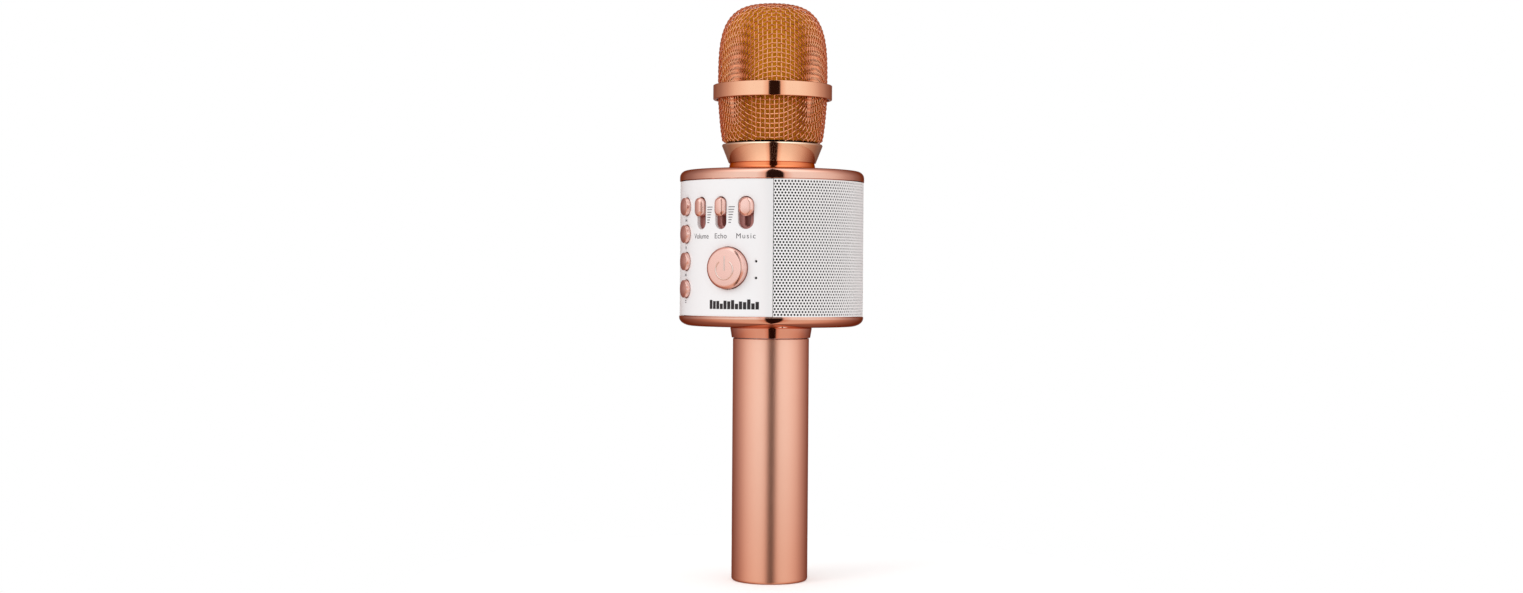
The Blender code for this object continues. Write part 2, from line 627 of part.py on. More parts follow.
def make_head():
    """Screw-on head: collar, two mesh grilles joined by a band, and their foam."""
    collar_low = NECK_TOP + GAP
    bore = SPIGOT_RADIUS + GAP
    lathe("head_collar", "rose_chrome", [
        (bore, collar_low), (HEAD_COLLAR_LOW, collar_low),
        (HEAD_COLLAR_HIGH, HEAD_COLLAR_TOP - 0.6), (HEAD_COLLAR_HIGH - 0.3, HEAD_COLLAR_TOP),
        (HEAD_COLLAR_BORE, HEAD_COLLAR_TOP), (HEAD_COLLAR_BORE, SPIGOT_TOP + 0.5),
        (bore, SPIGOT_TOP - 0.5)])
    gasket_in, gasket_out = 14.5, SPIGOT_RADIUS - 0.4
    gasket_low, gasket_high = SPIGOT_TOP + GAP, SPIGOT_TOP + 1.3
    lathe("head_gasket", "black_rubber", [
        (gasket_in, gasket_low), (gasket_out, gasket_low), (gasket_out, gasket_high),
        (gasket_in, gasket_high)], steps=24)
    edge = RING_RADIUS - RING_BEVEL
    lathe("grille_ring", "rose_chrome", [
        (WEB_BORE, WEB_LOW), (RING_BORE, WEB_LOW), (RING_BORE, RING_LOW), (edge, RING_LOW),
        (RING_RADIUS, RING_LOW + RING_BEVEL), (RING_RADIUS, RING_HIGH - RING_BEVEL),
        (edge, RING_HIGH), (RING_BORE, RING_HIGH), (RING_BORE, WEB_HIGH),
        (WEB_BORE, WEB_HIGH)])
    lathe("grille_basket", "rose_mesh",
          basket_section(0, HEAD_COLLAR_TOP + GAP, WEB_LOW - GAP, MESH_WALL))
    lathe("grille_dome", "rose_mesh",
          dome_section(DOME_RADIUS, DOME_TOP, WEB_HIGH + GAP, MESH_WALL))
    inset = MESH_WALL + FOAM_SPACE
    lathe("basket_foam", "gold_foam",
          basket_section(inset, HEAD_COLLAR_TOP + 1, WEB_LOW - 1, FOAM_WALL, 3), steps=28)
    lathe("dome_foam", "gold_foam",
          dome_section(DOME_RADIUS - inset, DOME_TOP - inset, WEB_HIGH + 1, FOAM_WALL, 6),
          steps=28)


def main():
    start_empty()
    make_handle()
    make_battery()
    make_caps()
    make_shell()
    make_controls()
    make_drivers()
    make_boards()
    make_neck()
    make_head()


main()
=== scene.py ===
"""Looks of the karaoke microphone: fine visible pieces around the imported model.

Metres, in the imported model's frame: +Z up the handle, origin at the handle's end, the
control panel facing -Y. An azimuth is in degrees about +Z: 0 is -Y and 90 is +X.
"""
import math

import bmesh
import bpy
import numpy as np
from mathutils import Matrix, Quaternion, Vector, noise
from mathutils.geometry import delaunay_2d_cdt


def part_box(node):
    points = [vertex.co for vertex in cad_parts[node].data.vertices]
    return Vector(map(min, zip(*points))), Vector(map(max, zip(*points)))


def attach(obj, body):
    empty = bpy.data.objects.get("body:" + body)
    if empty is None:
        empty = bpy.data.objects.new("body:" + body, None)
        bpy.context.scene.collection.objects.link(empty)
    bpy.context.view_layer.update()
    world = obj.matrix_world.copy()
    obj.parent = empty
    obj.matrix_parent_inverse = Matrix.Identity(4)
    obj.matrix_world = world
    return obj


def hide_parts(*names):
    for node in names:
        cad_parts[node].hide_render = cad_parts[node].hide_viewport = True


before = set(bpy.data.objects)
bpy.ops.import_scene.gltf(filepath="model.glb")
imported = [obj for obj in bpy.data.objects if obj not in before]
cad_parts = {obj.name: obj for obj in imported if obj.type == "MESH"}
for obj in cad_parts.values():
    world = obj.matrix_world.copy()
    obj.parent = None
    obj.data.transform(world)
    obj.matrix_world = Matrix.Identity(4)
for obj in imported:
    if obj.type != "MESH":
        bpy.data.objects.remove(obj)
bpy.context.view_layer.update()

MM = 0.001
FINE = 192  # facets round the large turned pieces
DOME_SHOULDER = 223.3 * MM
DOME_POWER = 3.35  # exponent of the dome's superellipse
CAP_HOLE = 16.0 * MM
CAP_RIM = (37.8 * MM, 39.2 * MM)  # inside and outside of the caps' rims under the shell
CAP_LAP = 2.0 * MM  # height of those rims under the shell
CAP_PLATE = 2.8 * MM
SHELL_INSET = 0.25 * MM  # from the caps' outside to the shell's
SHELL_WALL = 1.65 * MM
SLOT_WIDTHS = {"volume": 5.7 * MM, "echo": 5.7 * MM, "music": 7.1 * MM}
SLOT_LENGTH = 14.2 * MM
KNOB_MARGIN = 0.4 * MM  # between a knob's side and its slot's
KNOB_LENGTH = 8.2 * MM
BUTTON_RADIUS = 3.9 * MM
POWER_RADIUS = 9.05 * MM
BUTTON_GAP = 0.3 * MM  # between a button and its hole
LAMP_HOLE = 0.55 * MM
WORD_HEIGHT = 154.15 * MM  # of the words' middles
BARS_HEIGHT = 124.7 * MM  # of the level bars' middle
BARS_AZIMUTH = 16.1
INK_LINE = 0.35 * MM
INK_DEPTHS = (-0.05 * MM, 0.04 * MM)  # under and over the shell's surface
COLLAR_TOP = 196.2 * MM
RING_FOOT = 216.3 * MM
RING_WEB = (218.8 * MM, 220.3 * MM)  # plate inside the band
FOAM_WALL = 3.0 * MM
SHARP_ANGLE = math.radians(30)

# Camera: a long view across the control panel's right edge
CAMERA_AZIMUTH = 40.0
CAMERA_DISTANCE = 0.920
CAMERA_HEIGHT = 0.1352
AIM_HEIGHT = 0.1278
AIM_SIDE = -0.0044
CAMERA_ROLL = math.radians(0.4)
CAMERA_LENS = 48.2


# ---------------------------------------------------------------- places and sizes


def facing(azimuth, height=0.0):
    """Frame on the axis: X runs round to the right, Y up, Z out at an azimuth."""
    angle = math.radians(azimuth)
    right = Vector((math.cos(angle), math.sin(angle), 0))
    out = Vector((math.sin(angle), -math.cos(angle), 0))
    turned = Matrix((right, Vector((0, 0, 1)), out)).transposed().to_4x4()
    return Matrix.Translation((0, 0, height)) @ turned


def reach(node):
    """Greatest distance of a CAD node from the axis."""
    return max(math.hypot(v.co.x, v.co.y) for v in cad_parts[node].data.vertices)


def levels(node):
    """Lowest and highest height of a CAD node."""
    low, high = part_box(node)
    return low.z, high.z


def middle(node):
    """Azimuth and height of the middle of a CAD node."""
    low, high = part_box(node)
    x, y, z = (low + high) / 2
    return math.degrees(math.atan2(x, -y)), z


def at(node):
    """Frame on the axis that faces the middle of a CAD node."""
    return facing(*middle(node))


# ---------------------------------------------------------------- outlines


def rounded(corners, steps=6):
    """Closed outline through (x, y, radius) corners, each rounded by an arc."""
    outline = []
    for i, (x, y, radius) in enumerate(corners):
        corner = Vector((x, y))
        if not radius:
            outline.append((x, y))
            continue
        back = (Vector(corners[i - 1][:2]) - corner).normalized()
        on = (Vector(corners[(i + 1) % len(corners)][:2]) - corner).normalized()
        half = back.angle(on) / 2
        centre = corner + (back + on).normalized() * (radius / math.sin(half))
        first = corner + back * (radius / math.tan(half)) - centre
        last = corner + on * (radius / math.tan(half)) - centre
        bend = first.angle(last)
        for k in range(steps + 1):
            a, b = math.sin(bend * (1 - k / steps)), math.sin(bend * k / steps)
            outline.append(tuple(centre + (first * a + last * b) / math.sin(bend)))
    return outline


def ellipse_arc(centre, radii, begin, end, steps):
    """Points on an elliptical arc between two angles in degrees."""
    turns = [math.radians(begin + (end - begin) * i / steps) for i in range(steps + 1)]
    return [(centre[0] + radii[0] * math.cos(t), centre[1] + radii[1] * math.sin(t))
            for t in turns]


def circle(radius, steps):
    """Round outline about the origin."""
    return ellipse_arc((0, 0), (radius, radius), 0, 360, steps)[:-1]


def stadium(width, height, steps=16):
    """Upright slot outline with half-round ends."""
    radius = width / 2
    rise = height / 2 - radius
    return (ellipse_arc((0, rise), (radius, radius), 0, 180, steps)
            + ellipse_arc((0, -rise), (radius, radius), 180, 360, steps))


# ---------------------------------------------------------------- meshes


def face_out(mesh):
    """Turn every face of a closed mesh outwards."""
    bm = bmesh.new()
    bm.from_mesh(mesh)
    bmesh.ops.recalc_face_normals(bm, faces=bm.faces)
    bm.to_mesh(mesh)
    bm.free()


def piece(name, verts, faces, look, body, replaced=(), place=None):
    """Make a mesh object, give it its finish and let it ride on a body."""
    mesh = bpy.data.meshes.new(name)
    mesh.from_pydata([tuple(v) for v in verts], [], faces)
    face_out(mesh)
    mesh.materials.append(LOOKS[look])
    mesh.shade_smooth()
    mesh.set_sharp_from_angle(angle=SHARP_ANGLE)
    obj = bpy.data.objects.new(name, mesh)
    bpy.context.scene.collection.objects.link(obj)
    if place is not None:
        mesh.transform(place)
    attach(obj, body)
    if replaced:
        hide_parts(*replaced)
    return obj


def turned(outline, steps=FINE):
    """Vertices and faces of a closed (radius, height) outline revolved about Z."""
    verts, rings = [], []
    for radius, height in outline:
        if radius < 1e-7:
            rings.append([len(verts)] * steps)
            verts.append((0, 0, height))
            continue
        rings.append(list(range(len(verts), len(verts) + steps)))
        for i in range(steps):
            angle = 2 * math.pi * i / steps
            verts.append((radius * math.sin(angle), -radius * math.cos(angle), height))
    faces = []
    for low, high in zip(rings, rings[1:] + rings[:1]):
        if low[0] == low[1] and high[0] == high[1]:
            continue
        for i in range(steps):
            j = (i + 1) % steps
            corners = list(dict.fromkeys((low[i], low[j], high[j], high[i])))
            faces.append(corners)
    return verts, faces


def lathe(name, outline, look, body, replaced=(), steps=FINE, place=None):
    """Turned piece."""
    verts, faces = turned(outline, steps)
    return piece(name, verts, faces, look, body, replaced, place)


def lofted(layers):
    """Vertices and faces of a closed solid through (outline, depth) layers."""
    verts = [(x, y, depth) for outline, depth in layers for x, y in outline]
    count = len(layers[0][0])
    faces = []
    for k in range(len(layers) - 1):
        for i in range(count):
            j = (i + 1) % count
            faces.append((k * count + i, k * count + j,
                          (k + 1) * count + j, (k + 1) * count + i))
    faces.append(tuple(reversed(range(count))))
    faces.append(tuple(range(len(verts) - count, len(verts))))
    return verts, faces


def loft(name, layers, look, body, replaced=(), place=None):
    """Lofted piece."""
    verts, faces = lofted(layers)
    return piece(name, verts, faces, look, body, replaced, place)


# ---------------------------------------------------------------- materials


def shader_of(name):
    """New material with its tree, its Principled shader and a node maker."""
    made = bpy.data.materials.new(name)
    made.use_nodes = True
    tree = made.node_tree
    shader = tree.nodes["Principled BSDF"]
    coords = tree.nodes.new("ShaderNodeTexCoord")

    def add(kind, **values):
        node = tree.nodes.new("ShaderNode" + kind)
        for key, value in values.items():
            if key in node.inputs:
                node.inputs[key].default_value = value
            else:
                setattr(node, key, value)
        return node

    def link(source, target):
        tree.links.new(source, target)

    return made, shader, coords.outputs["Object"], add, link


def grain(add, link, coords, scale, detail=3.0):
    """Noise value at a scale in cells per metre."""
    node = add("TexNoise", Scale=scale, Detail=detail)
    link(coords, node.inputs["Vector"])
    return node.outputs["Fac"]


def spread(add, link, value, low, high):
    """Map a 0-1 value to a range."""
    node = add("MapRange")
    node.inputs["To Min"].default_value = low
    node.inputs["To Max"].default_value = high
    link(value, node.inputs["Value"])
    return node.outputs["Result"]


def blend_colour(add, link, value, low, high):
    """Mix two colours by a value."""
    node = add("Mix", data_type="RGBA")
    colours = {socket.name: socket for socket in node.inputs if socket.type == "RGBA"}
    colours["A"].default_value, colours["B"].default_value = (*low, 1), (*high, 1)
    link(value, node.inputs["Factor"])
    return next(socket for socket in node.outputs if socket.type == "RGBA")


def bump(add, link, shader, value, distance, strength=0.3):
    """Raise the surface by a value."""
    node = add("Bump", Distance=distance, Strength=strength)
    link(value, node.inputs["Height"])
    link(node.outputs["Normal"], shader.inputs["Normal"])


def metal(name, colour, shade, roughness, edge, texture=0.0, cells=2500.0, uneven=0.03):
    """Plated or anodised metal with uneven polish and, if asked, a blasted texture."""
    made, shader, coords, add, link = shader_of(name)
    broad = grain(add, link, coords, 90.0)
    link(blend_colour(add, link, broad, shade, colour), shader.inputs["Base Color"])
    shader.inputs["Metallic"].default_value = 1.0
    shader.inputs["Specular Tint"].default_value = (*edge, 1)
    fine = grain(add, link, coords, cells)
    link(spread(add, link, fine, roughness - uneven, roughness + uneven),
         shader.inputs["Roughness"])
    if texture:
        bump(add, link, shader, fine, texture)
    return made


def plastic(name, colour, shade, roughness, texture, cells, coat=0.0):
    """Moulded or painted surface with slight mottling and texture."""
    made, shader, coords, add, link = shader_of(name)
    broad = grain(add, link, coords, 60.0)
    link(blend_colour(add, link, broad, shade, colour), shader.inputs["Base Color"])
    fine = grain(add, link, coords, cells)
    link(spread(add, link, fine, roughness * 0.85, roughness * 1.15),
         shader.inputs["Roughness"])
    shader.inputs["Coat Weight"].default_value = coat
    shader.inputs["Coat Roughness"].default_value = 0.04
    bump(add, link, shader, fine, texture, 0.2)
    return made


def foam_look(name, colour, pore_painted_shade):
    """Open-cell foam, with painted shade in its pores."""
    made, shader, coords, add, link = shader_of(name)
    cells = add("TexVoronoi", Scale=900.0)
    link(coords, cells.inputs["Vector"])
    # Painted shade: the colour darkens across each Voronoi cell towards the pore colour, as shade
    # in the foam's hollows.
    link(blend_colour(add, link, cells.outputs["Distance"], colour, pore_painted_shade),
         shader.inputs["Base Color"])
    shader.inputs["Roughness"].default_value = 0.95
    shader.inputs["Specular IOR Level"].default_value = 0.1
    bump(add, link, shader, cells.outputs["Distance"], 0.0004, 0.8)
    return made


LOOKS = {
    "chrome": metal("rose_chrome", (0.98, 0.58, 0.38), (0.96, 0.55, 0.36), 0.07,
                    (0.62, 0.40, 0.34)),
    "pale_chrome": metal("pale_rose_chrome", (1.0, 0.86, 0.67), (0.98, 0.83, 0.64), 0.09,
                         (0.55, 0.36, 0.30)),
    "cap_chrome": metal("rose_cap_chrome", (0.89, 0.57, 0.46), (0.86, 0.54, 0.43), 0.06,
                        (0.45, 0.17, 0.10)),
    "neck_chrome": metal("copper_chrome", (0.96, 0.32, 0.14), (0.93, 0.29, 0.12), 0.08,
                         (0.50, 0.20, 0.10)),
    "dark_chrome": metal("rose_collar_chrome", (0.88, 0.52, 0.42), (0.84, 0.49, 0.39), 0.09,
                         (0.45, 0.20, 0.15)),
    "satin": metal("rose_satin", (1.0, 0.62, 0.48), (0.98, 0.59, 0.45), 0.30,
                   (0.45, 0.20, 0.15), texture=0.00003, cells=1800.0, uneven=0.05),
    "button": metal("rose_button", (0.97, 0.67, 0.60), (0.95, 0.63, 0.56), 0.22,
                    (0.70, 0.45, 0.40), texture=0.00001, cells=4000.0),
    "wire": metal("rose_wire", (0.97, 0.51, 0.31), (0.90, 0.43, 0.25), 0.22,
                  (0.60, 0.35, 0.30), cells=1500.0, uneven=0.06),
    "steel": metal("plain_steel", (0.55, 0.55, 0.56), (0.48, 0.48, 0.50), 0.35,
                   (0.9, 0.9, 0.9), texture=0.00001),
    "brown": plastic("brown_plate", (0.58, 0.27, 0.24), (0.50, 0.21, 0.19), 0.35,
                     0.00002, 2500.0),
    "white": plastic("white_gloss", (0.90, 0.885, 0.89), (0.885, 0.87, 0.875), 0.16,
                     0.00002, 500.0, coat=0.5),
    "paint": plastic("white_paint", (0.94, 0.925, 0.925), (0.92, 0.905, 0.905), 0.34,
                     0.00002, 3000.0),
    "black": plastic("black_plastic", (0.020, 0.020, 0.022), (0.012, 0.012, 0.013), 0.5,
                     0.00003, 3000.0),
    "liner": plastic("black_liner", (0.010, 0.010, 0.010), (0.004, 0.004, 0.004), 0.9,
                     0.00005, 6000.0),
    "rubber": plastic("soft_rubber", (0.025, 0.025, 0.026), (0.018, 0.018, 0.018), 0.75,
                      0.00003, 4000.0),
    "board": plastic("circuit_board", (0.02, 0.17, 0.07), (0.01, 0.12, 0.05), 0.4,
                     0.00003, 1500.0),
    "wrap": plastic("cell_wrap", (0.04, 0.14, 0.45), (0.03, 0.11, 0.40), 0.25,
                    0.00002, 800.0),
    "paper": plastic("cone_paper", (0.03, 0.03, 0.03), (0.02, 0.02, 0.02), 0.85,
                     0.00006, 3500.0),
    "lens": plastic("lamp_lens", (0.04, 0.04, 0.045), (0.03, 0.03, 0.035), 0.1,
                    0.00001, 800.0, coat=0.5),
    "sign": metal("pale_sign", (0.98, 0.86, 0.80), (0.96, 0.83, 0.77), 0.3,
                  (0.9, 0.8, 0.8)),
    "grey_ink": plastic("grey_ink", (0.11, 0.10, 0.11), (0.09, 0.08, 0.09), 0.5,
                        0.00001, 5000.0),
    "black_ink": plastic("black_ink", (0.012, 0.008, 0.012), (0.008, 0.006, 0.008), 0.3,
                         0.00001, 5000.0),
    # One gold foam in two copies: the dome's is painted lighter, as light falling from above, and
    # the basket's is painted darker, as painted shade.
    "dome_foam": foam_look("gold_foam", (0.80, 0.35, 0.012), (0.52, 0.19, 0.007)),
    "basket_foam": foam_look("foam_gold_painted_shade", (0.62, 0.23, 0.010), (0.38, 0.12, 0.006)),
}


# ---------------------------------------------------------------- sheets on a cylinder


def wrap(radius, u, v):
    """Point on a cylinder from arc length and height, measured at that radius."""
    angle = u / radius
    return (radius * math.sin(angle), -radius * math.cos(angle), v)


def inside(outline, points):
    """Which points lie inside a closed outline."""
    x, y = points[:, 0], points[:, 1]
    result = np.zeros(len(points), bool)
    for (ax, ay), (bx, by) in zip(outline, outline[1:] + outline[:1]):
        if ay == by:
            continue
        crosses = (ay > y) != (by > y)
        result ^= crosses & (x < (bx - ax) * (y - ay) / (by - ay) + ax)
    return result


def curved_sheet(name, azimuths, heights, radius, wall, holes, look, replaced):
    """Closed curved plate with shaped holes and softly rounded edges.

    Each hole is (shape, azimuth, height), where shape(grow) is its outline grown
    by a distance.
    """
    spacing, edge, arc_steps = 1.0 * MM, 0.22 * MM, 3
    left, right = (math.radians(a) * radius for a in azimuths)
    low, high = heights

    def border(grow):
        across = np.linspace(left - grow, right + grow, round((right - left) / spacing))
        up = np.linspace(low - grow, high + grow, round((high - low) / spacing))
        return ([(x, low - grow) for x in across[:-1]]
                + [(right + grow, y) for y in up[:-1]]
                + [(x, high + grow) for x in across[:0:-1]]
                + [(left - grow, y) for y in up[:0:-1]])

    def opening(shape, azimuth, height):
        start = math.radians(azimuth) * radius
        return lambda grow: [(start + radius * math.asin(x / radius), height + y)
                             for x, y in shape(-grow)]

    loops = [border] + [opening(*hole) for hole in holes]
    outlines = [loop(-edge) for loop in loops]
    across = np.arange(left + spacing, right - 0.6 * spacing, spacing)
    up = np.arange(low + spacing, high - 0.6 * spacing, spacing)
    grid = np.array([(x, y) for x in across for y in up])
    for outline in outlines[1:]:
        rim = np.array(outline)
        near = np.min(np.linalg.norm(grid[:, None] - rim[None], axis=2), axis=1)
        grid = grid[~inside(outline, grid) & (near > 0.55 * spacing)]
    flat = [p for outline in outlines for p in outline]
    edges, starts = [], []
    for outline in outlines:
        first = starts[-1] + len(previous) if starts else 0
        starts.append(first)
        previous = outline
        count = len(outline)
        edges += [(first + i, first + (i + 1) % count) for i in range(count)]
    points = [Vector(p) for p in flat] + [Vector(p) for p in grid]
    _, _, faces, origins, _, _ = delaunay_2d_cdt(points, edges, [], 0, 1e-7)
    faces = [[origins[i][0] for i in face] for face in faces]
    centres = np.array([np.mean([points[i][:] for i in face], axis=0) for face in faces])
    keep = np.ones(len(faces), bool)
    for outline in outlines[1:]:
        keep &= ~inside(outline, centres)
    faces = [face for face, kept in zip(faces, keep) if kept]

    verts = [wrap(radius, p[0], p[1]) for p in points]
    base = len(verts)
    deep = radius - wall
    back = [p for loop in loops for p in loop(0)] + [tuple(p) for p in grid]
    verts += [wrap(deep, p[0] * deep / radius, p[1]) for p in back]
    solid = faces + [[base + i for i in reversed(face)] for face in faces]
    for loop, start, outline in zip(loops, starts, outlines):
        count = len(outline)
        rings = [list(range(start, start + count))]
        for k in range(1, arc_steps + 1):
            bend = math.pi / 2 * k / arc_steps
            depth = radius - edge * (1 - math.cos(bend))
            ring = loop(-edge * (1 - math.sin(bend)))
            rings.append(list(range(len(verts), len(verts) + count)))
            verts += [wrap(depth, x * depth / radius, y) for x, y in ring]
        rings.append(list(range(base + start, base + start + count)))
        for near, far in zip(rings, rings[1:]):
            solid += [(near[i], far[i], far[(i + 1) % count], near[(i + 1) % count])
                      for i in range(count)]
    return piece(name, verts, solid, look, "housing", replaced)


def perforated_sheet(name, azimuths, heights, radius, wall, look, replaced):
    """Closed curved sheet with staggered round holes, cut through at its side edges."""
    pitch_wanted, row_wanted, hole = 1.45 * MM, 1.256 * MM, 0.48 * MM
    left, right = (math.radians(a) * radius for a in azimuths)
    low, high = heights
    across = round((right - left) / pitch_wanted)
    rows = int((high - low) / row_wanted)
    pitch = (right - left) / across
    foot = low + ((high - low) - rows * row_wanted) / 2
    verts, faces, lattice = [], [], {}

    def add(u, v):
        verts.append(wrap(radius, u, v))
        deep = radius - wall
        verts.append(wrap(deep, u * deep / radius, v))
        return len(verts) - 2

    def corner(j, k):
        if (j, k) not in lattice:
            height = low if k < 0 else high if k > rows else foot + k * row_wanted
            lattice[j, k] = add(left + j * pitch / 2, height)
        return lattice[j, k]

    def skin(loop):
        faces.append(loop)
        faces.append([i + 1 for i in reversed(loop)])

    def side(a, b):
        faces.append((b, a, a + 1, b + 1))

    for k in range(rows):
        shift = k % 2
        v = foot + (k + 0.5) * row_wanted
        for i in range(across - shift):
            j = 2 * i + shift
            u = left + (j + 1) * pitch / 2
            rim = [add(u + hole * math.cos(math.radians(a)), v + hole * math.sin(math.radians(a)))
                   for a in range(0, 360, 30)]
            around = [corner(j + 2, k + 1), corner(j + 1, k + 1), corner(j, k + 1),
                      corner(j, k), corner(j + 1, k), corner(j + 2, k)]
            for n in range(6):
                p = 2 * n + 1
                skin([around[n], around[(n + 1) % 6], rim[(p + 2) % 12],
                      rim[(p + 1) % 12], rim[p]])
            for n in range(12):
                side(rim[(n + 1) % 12], rim[n])
        if shift:
            for j, turn in ((0, 0), (2 * across, 180)):
                u = left + j * pitch / 2
                step = 1 if turn == 0 else -1
                rim = [add(u + hole * math.cos(math.radians(a + turn)),
                           v + hole * math.sin(math.radians(a + turn)))
                       for a in range(-90, 91, 30)]
                lower, upper = (k, k + 1) if step > 0 else (k + 1, k)
                skin([corner(j, lower), corner(j + step, lower), rim[2], rim[1], rim[0]])
                skin([corner(j + step, lower), corner(j + step, upper), rim[4], rim[3], rim[2]])
                skin([corner(j + step, upper), corner(j, upper), rim[6], rim[5], rim[4]])
                for n in range(6):
                    side(rim[n + 1], rim[n])
                side(rim[0], corner(j, lower))
                side(corner(j, upper), rim[6])
        else:
            side(corner(0, k + 1), corner(0, k))
            side(corner(2 * across, k), corner(2 * across, k + 1))
    for k, outer in ((0, -1), (rows, rows + 1)):
        for j in range(2 * across):
            loop = [corner(j, k), corner(j + 1, k), corner(j + 1, outer), corner(j, outer)]
            skin(loop if outer > k else loop[::-1])
            ends = (corner(j, outer), corner(j + 1, outer))
            side(*(ends if outer < k else ends[::-1]))
        for j in (0, 2 * across):
            side(corner(j, k), corner(j, outer))
    return piece(name, verts, faces, look, "housing", replaced)


# ---------------------------------------------------------------- wires


def tube(points, normals, radius, sides, verts, faces):
    """Append a closed tube along points, framed by the surface normals beside them."""
    count = len(points)
    along = np.gradient(points, axis=0)
    along /= np.linalg.norm(along, axis=1)[:, None]
    across = np.cross(along, normals)
    across /= np.linalg.norm(across, axis=1)[:, None]
    out = np.cross(across, along)
    turns = 2 * np.pi * np.arange(sides) / sides
    rings = (points[:, None]
             + radius * np.cos(turns)[None, :, None] * out[:, None]
             + radius * np.sin(turns)[None, :, None] * across[:, None])
    start = len(verts)
    verts.extend(rings.reshape(-1, 3).tolist())
    for i in range(count - 1):
        for k in range(sides):
            a, b = start + i * sides + k, start + i * sides + (k + 1) % sides
            faces.append((a, b, b + sides, a + sides))
    faces.append(tuple(range(start + sides - 1, start - 1, -1)))
    last = start + (count - 1) * sides
    faces.append(tuple(range(last, last + sides)))


class DrawnNet:
    """Square wire mesh drawn over a turned surface without stretching its wires.

    The surface is given from its pole outwards. Two wires cross at the pole along
    meridians, and every other crossing is one pitch from its two inner neighbours.
    """

    def __init__(self, profile, pitch, azimuth):
        self.radii = np.array([p[0] for p in profile])
        self.heights = np.array([p[1] for p in profile])
        steps = np.hypot(np.diff(self.radii), np.diff(self.heights))
        self.lengths = np.concatenate(([0.0], np.cumsum(steps)))
        self.pitch = pitch
        self.azimuth = math.radians(azimuth)
        self.limit = self.lengths[-1]
        self.count = int(self.limit / pitch) + 3
        self.solve()

    def point(self, along, turn):
        """Place on the surface from distance to the pole and angle round it."""
        beyond = max(along - self.limit, 0.0)
        r = np.interp(along, self.lengths, self.radii)
        slope = np.array([self.radii[-1] - self.radii[-2],
                          self.heights[-1] - self.heights[-2]])
        slope /= np.linalg.norm(slope)
        z = np.interp(along, self.lengths, self.heights)
        r, z = r + slope[0] * beyond, z + slope[1] * beyond
        return np.array([r * math.cos(turn), r * math.sin(turn), z])

    def meridian(self):
        """Distances from the pole of the crossings on a straight wire."""
        found = [0.0]
        while len(found) < self.count:
            here = self.point(found[-1], 0.0)
            low, high = found[-1], found[-1] + 1.6 * self.pitch
            for _ in range(30):
                half = (low + high) / 2
                if np.linalg.norm(self.point(half, 0.0) - here) < self.pitch:
                    low = half
                else:
                    high = half
            found.append(half)
        return found

    def crossing(self, first, second, guess):
        """Place one pitch from two crossings, by Newton's method."""
        a, b = self.point(*first), self.point(*second)
        along, turn = guess
        for _ in range(25):
            here = self.point(along, turn)
            miss = np.array([np.linalg.norm(here - a), np.linalg.norm(here - b)])
            miss -= self.pitch
            if np.abs(miss).max() < 1e-9:
                break
            tiny = 1e-6
            ahead, beside = self.point(along + tiny, turn), self.point(along, turn + 1e-4)
            slope = np.array([
                [np.linalg.norm(ahead - a) - np.linalg.norm(here - a),
                 np.linalg.norm(beside - a) - np.linalg.norm(here - a)],
                [np.linalg.norm(ahead - b) - np.linalg.norm(here - b),
                 np.linalg.norm(beside - b) - np.linalg.norm(here - b)]])
            slope /= np.array([tiny, 1e-4])
            try:
                step = np.linalg.solve(slope, miss)
            except np.linalg.LinAlgError:
                break
            along -= float(np.clip(step[0], -self.pitch, self.pitch))
            turn -= float(np.clip(step[1], -0.2, 0.2))
        return along, turn

    def solve(self):
        """Crossings of one quarter; the other three are the same, turned."""
        straight = self.meridian()
        quarter = {(i, 0): (s, 0.0) for i, s in enumerate(straight)}
        quarter.update({(0, j): (s, math.pi / 2) for j, s in enumerate(straight)})
        for total in range(2, 2 * self.count - 1):
            for i in range(1, total):
                j = total - i
                first, second = quarter.get((i - 1, j)), quarter.get((i, j - 1))
                if first is None or second is None:
                    continue
                if min(first[0], second[0]) > self.limit + 2 * self.pitch:
                    continue
                inner = quarter[(i - 1, j - 1)]
                along = max(first[0] + second[0] - inner[0],
                            max(first[0], second[0]) + 0.2 * self.pitch)
                quarter[i, j] = self.crossing(first, second,
                                              (along, (first[1] + second[1]) / 2))
        self.quarter = quarter

    def place(self, i, j):
        """Crossing of wires i and j anywhere on the net, or None."""
        for quarter_turns in range(4):
            if i >= 0 and j >= 0:
                break
            i, j = j, -i
        found = self.quarter.get((i, j))
        if found is None:
            return None
        return found[0], found[1] + quarter_turns * math.pi / 2 + self.azimuth - math.pi / 2

    def wires(self, radius, begin, family):
        """Tubes of the wires running one way, over and under the others."""
        verts, faces = [], []
        span = range(-self.count + 1, self.count)
        for fixed in span:
            run = []
            for moving in span:
                spot = self.place(*((fixed, moving) if family else (moving, fixed)))
                if spot is None:
                    self.draw(run, radius, begin, verts, faces)
                    run = []
                else:
                    run.append((spot, 1 if (moving + fixed + family) % 2 else -1))
            self.draw(run, radius, begin, verts, faces)
        return verts, faces

    def normal(self, along, turn):
        """Outward normal of the surface."""
        tiny = 1e-5
        a, b = self.point(max(along - tiny, 0.0), turn), self.point(along + tiny, turn)
        meridian = b - a
        meridian /= np.linalg.norm(meridian)
        side = np.array([-math.sin(turn), math.cos(turn), 0.0])
        out = np.cross(meridian, side)
        radial = np.array([math.cos(turn), math.sin(turn), 0.0])
        if np.dot(out, radial) < 0 and abs(np.dot(out, radial)) > 0.2:
            out = -out
        return out

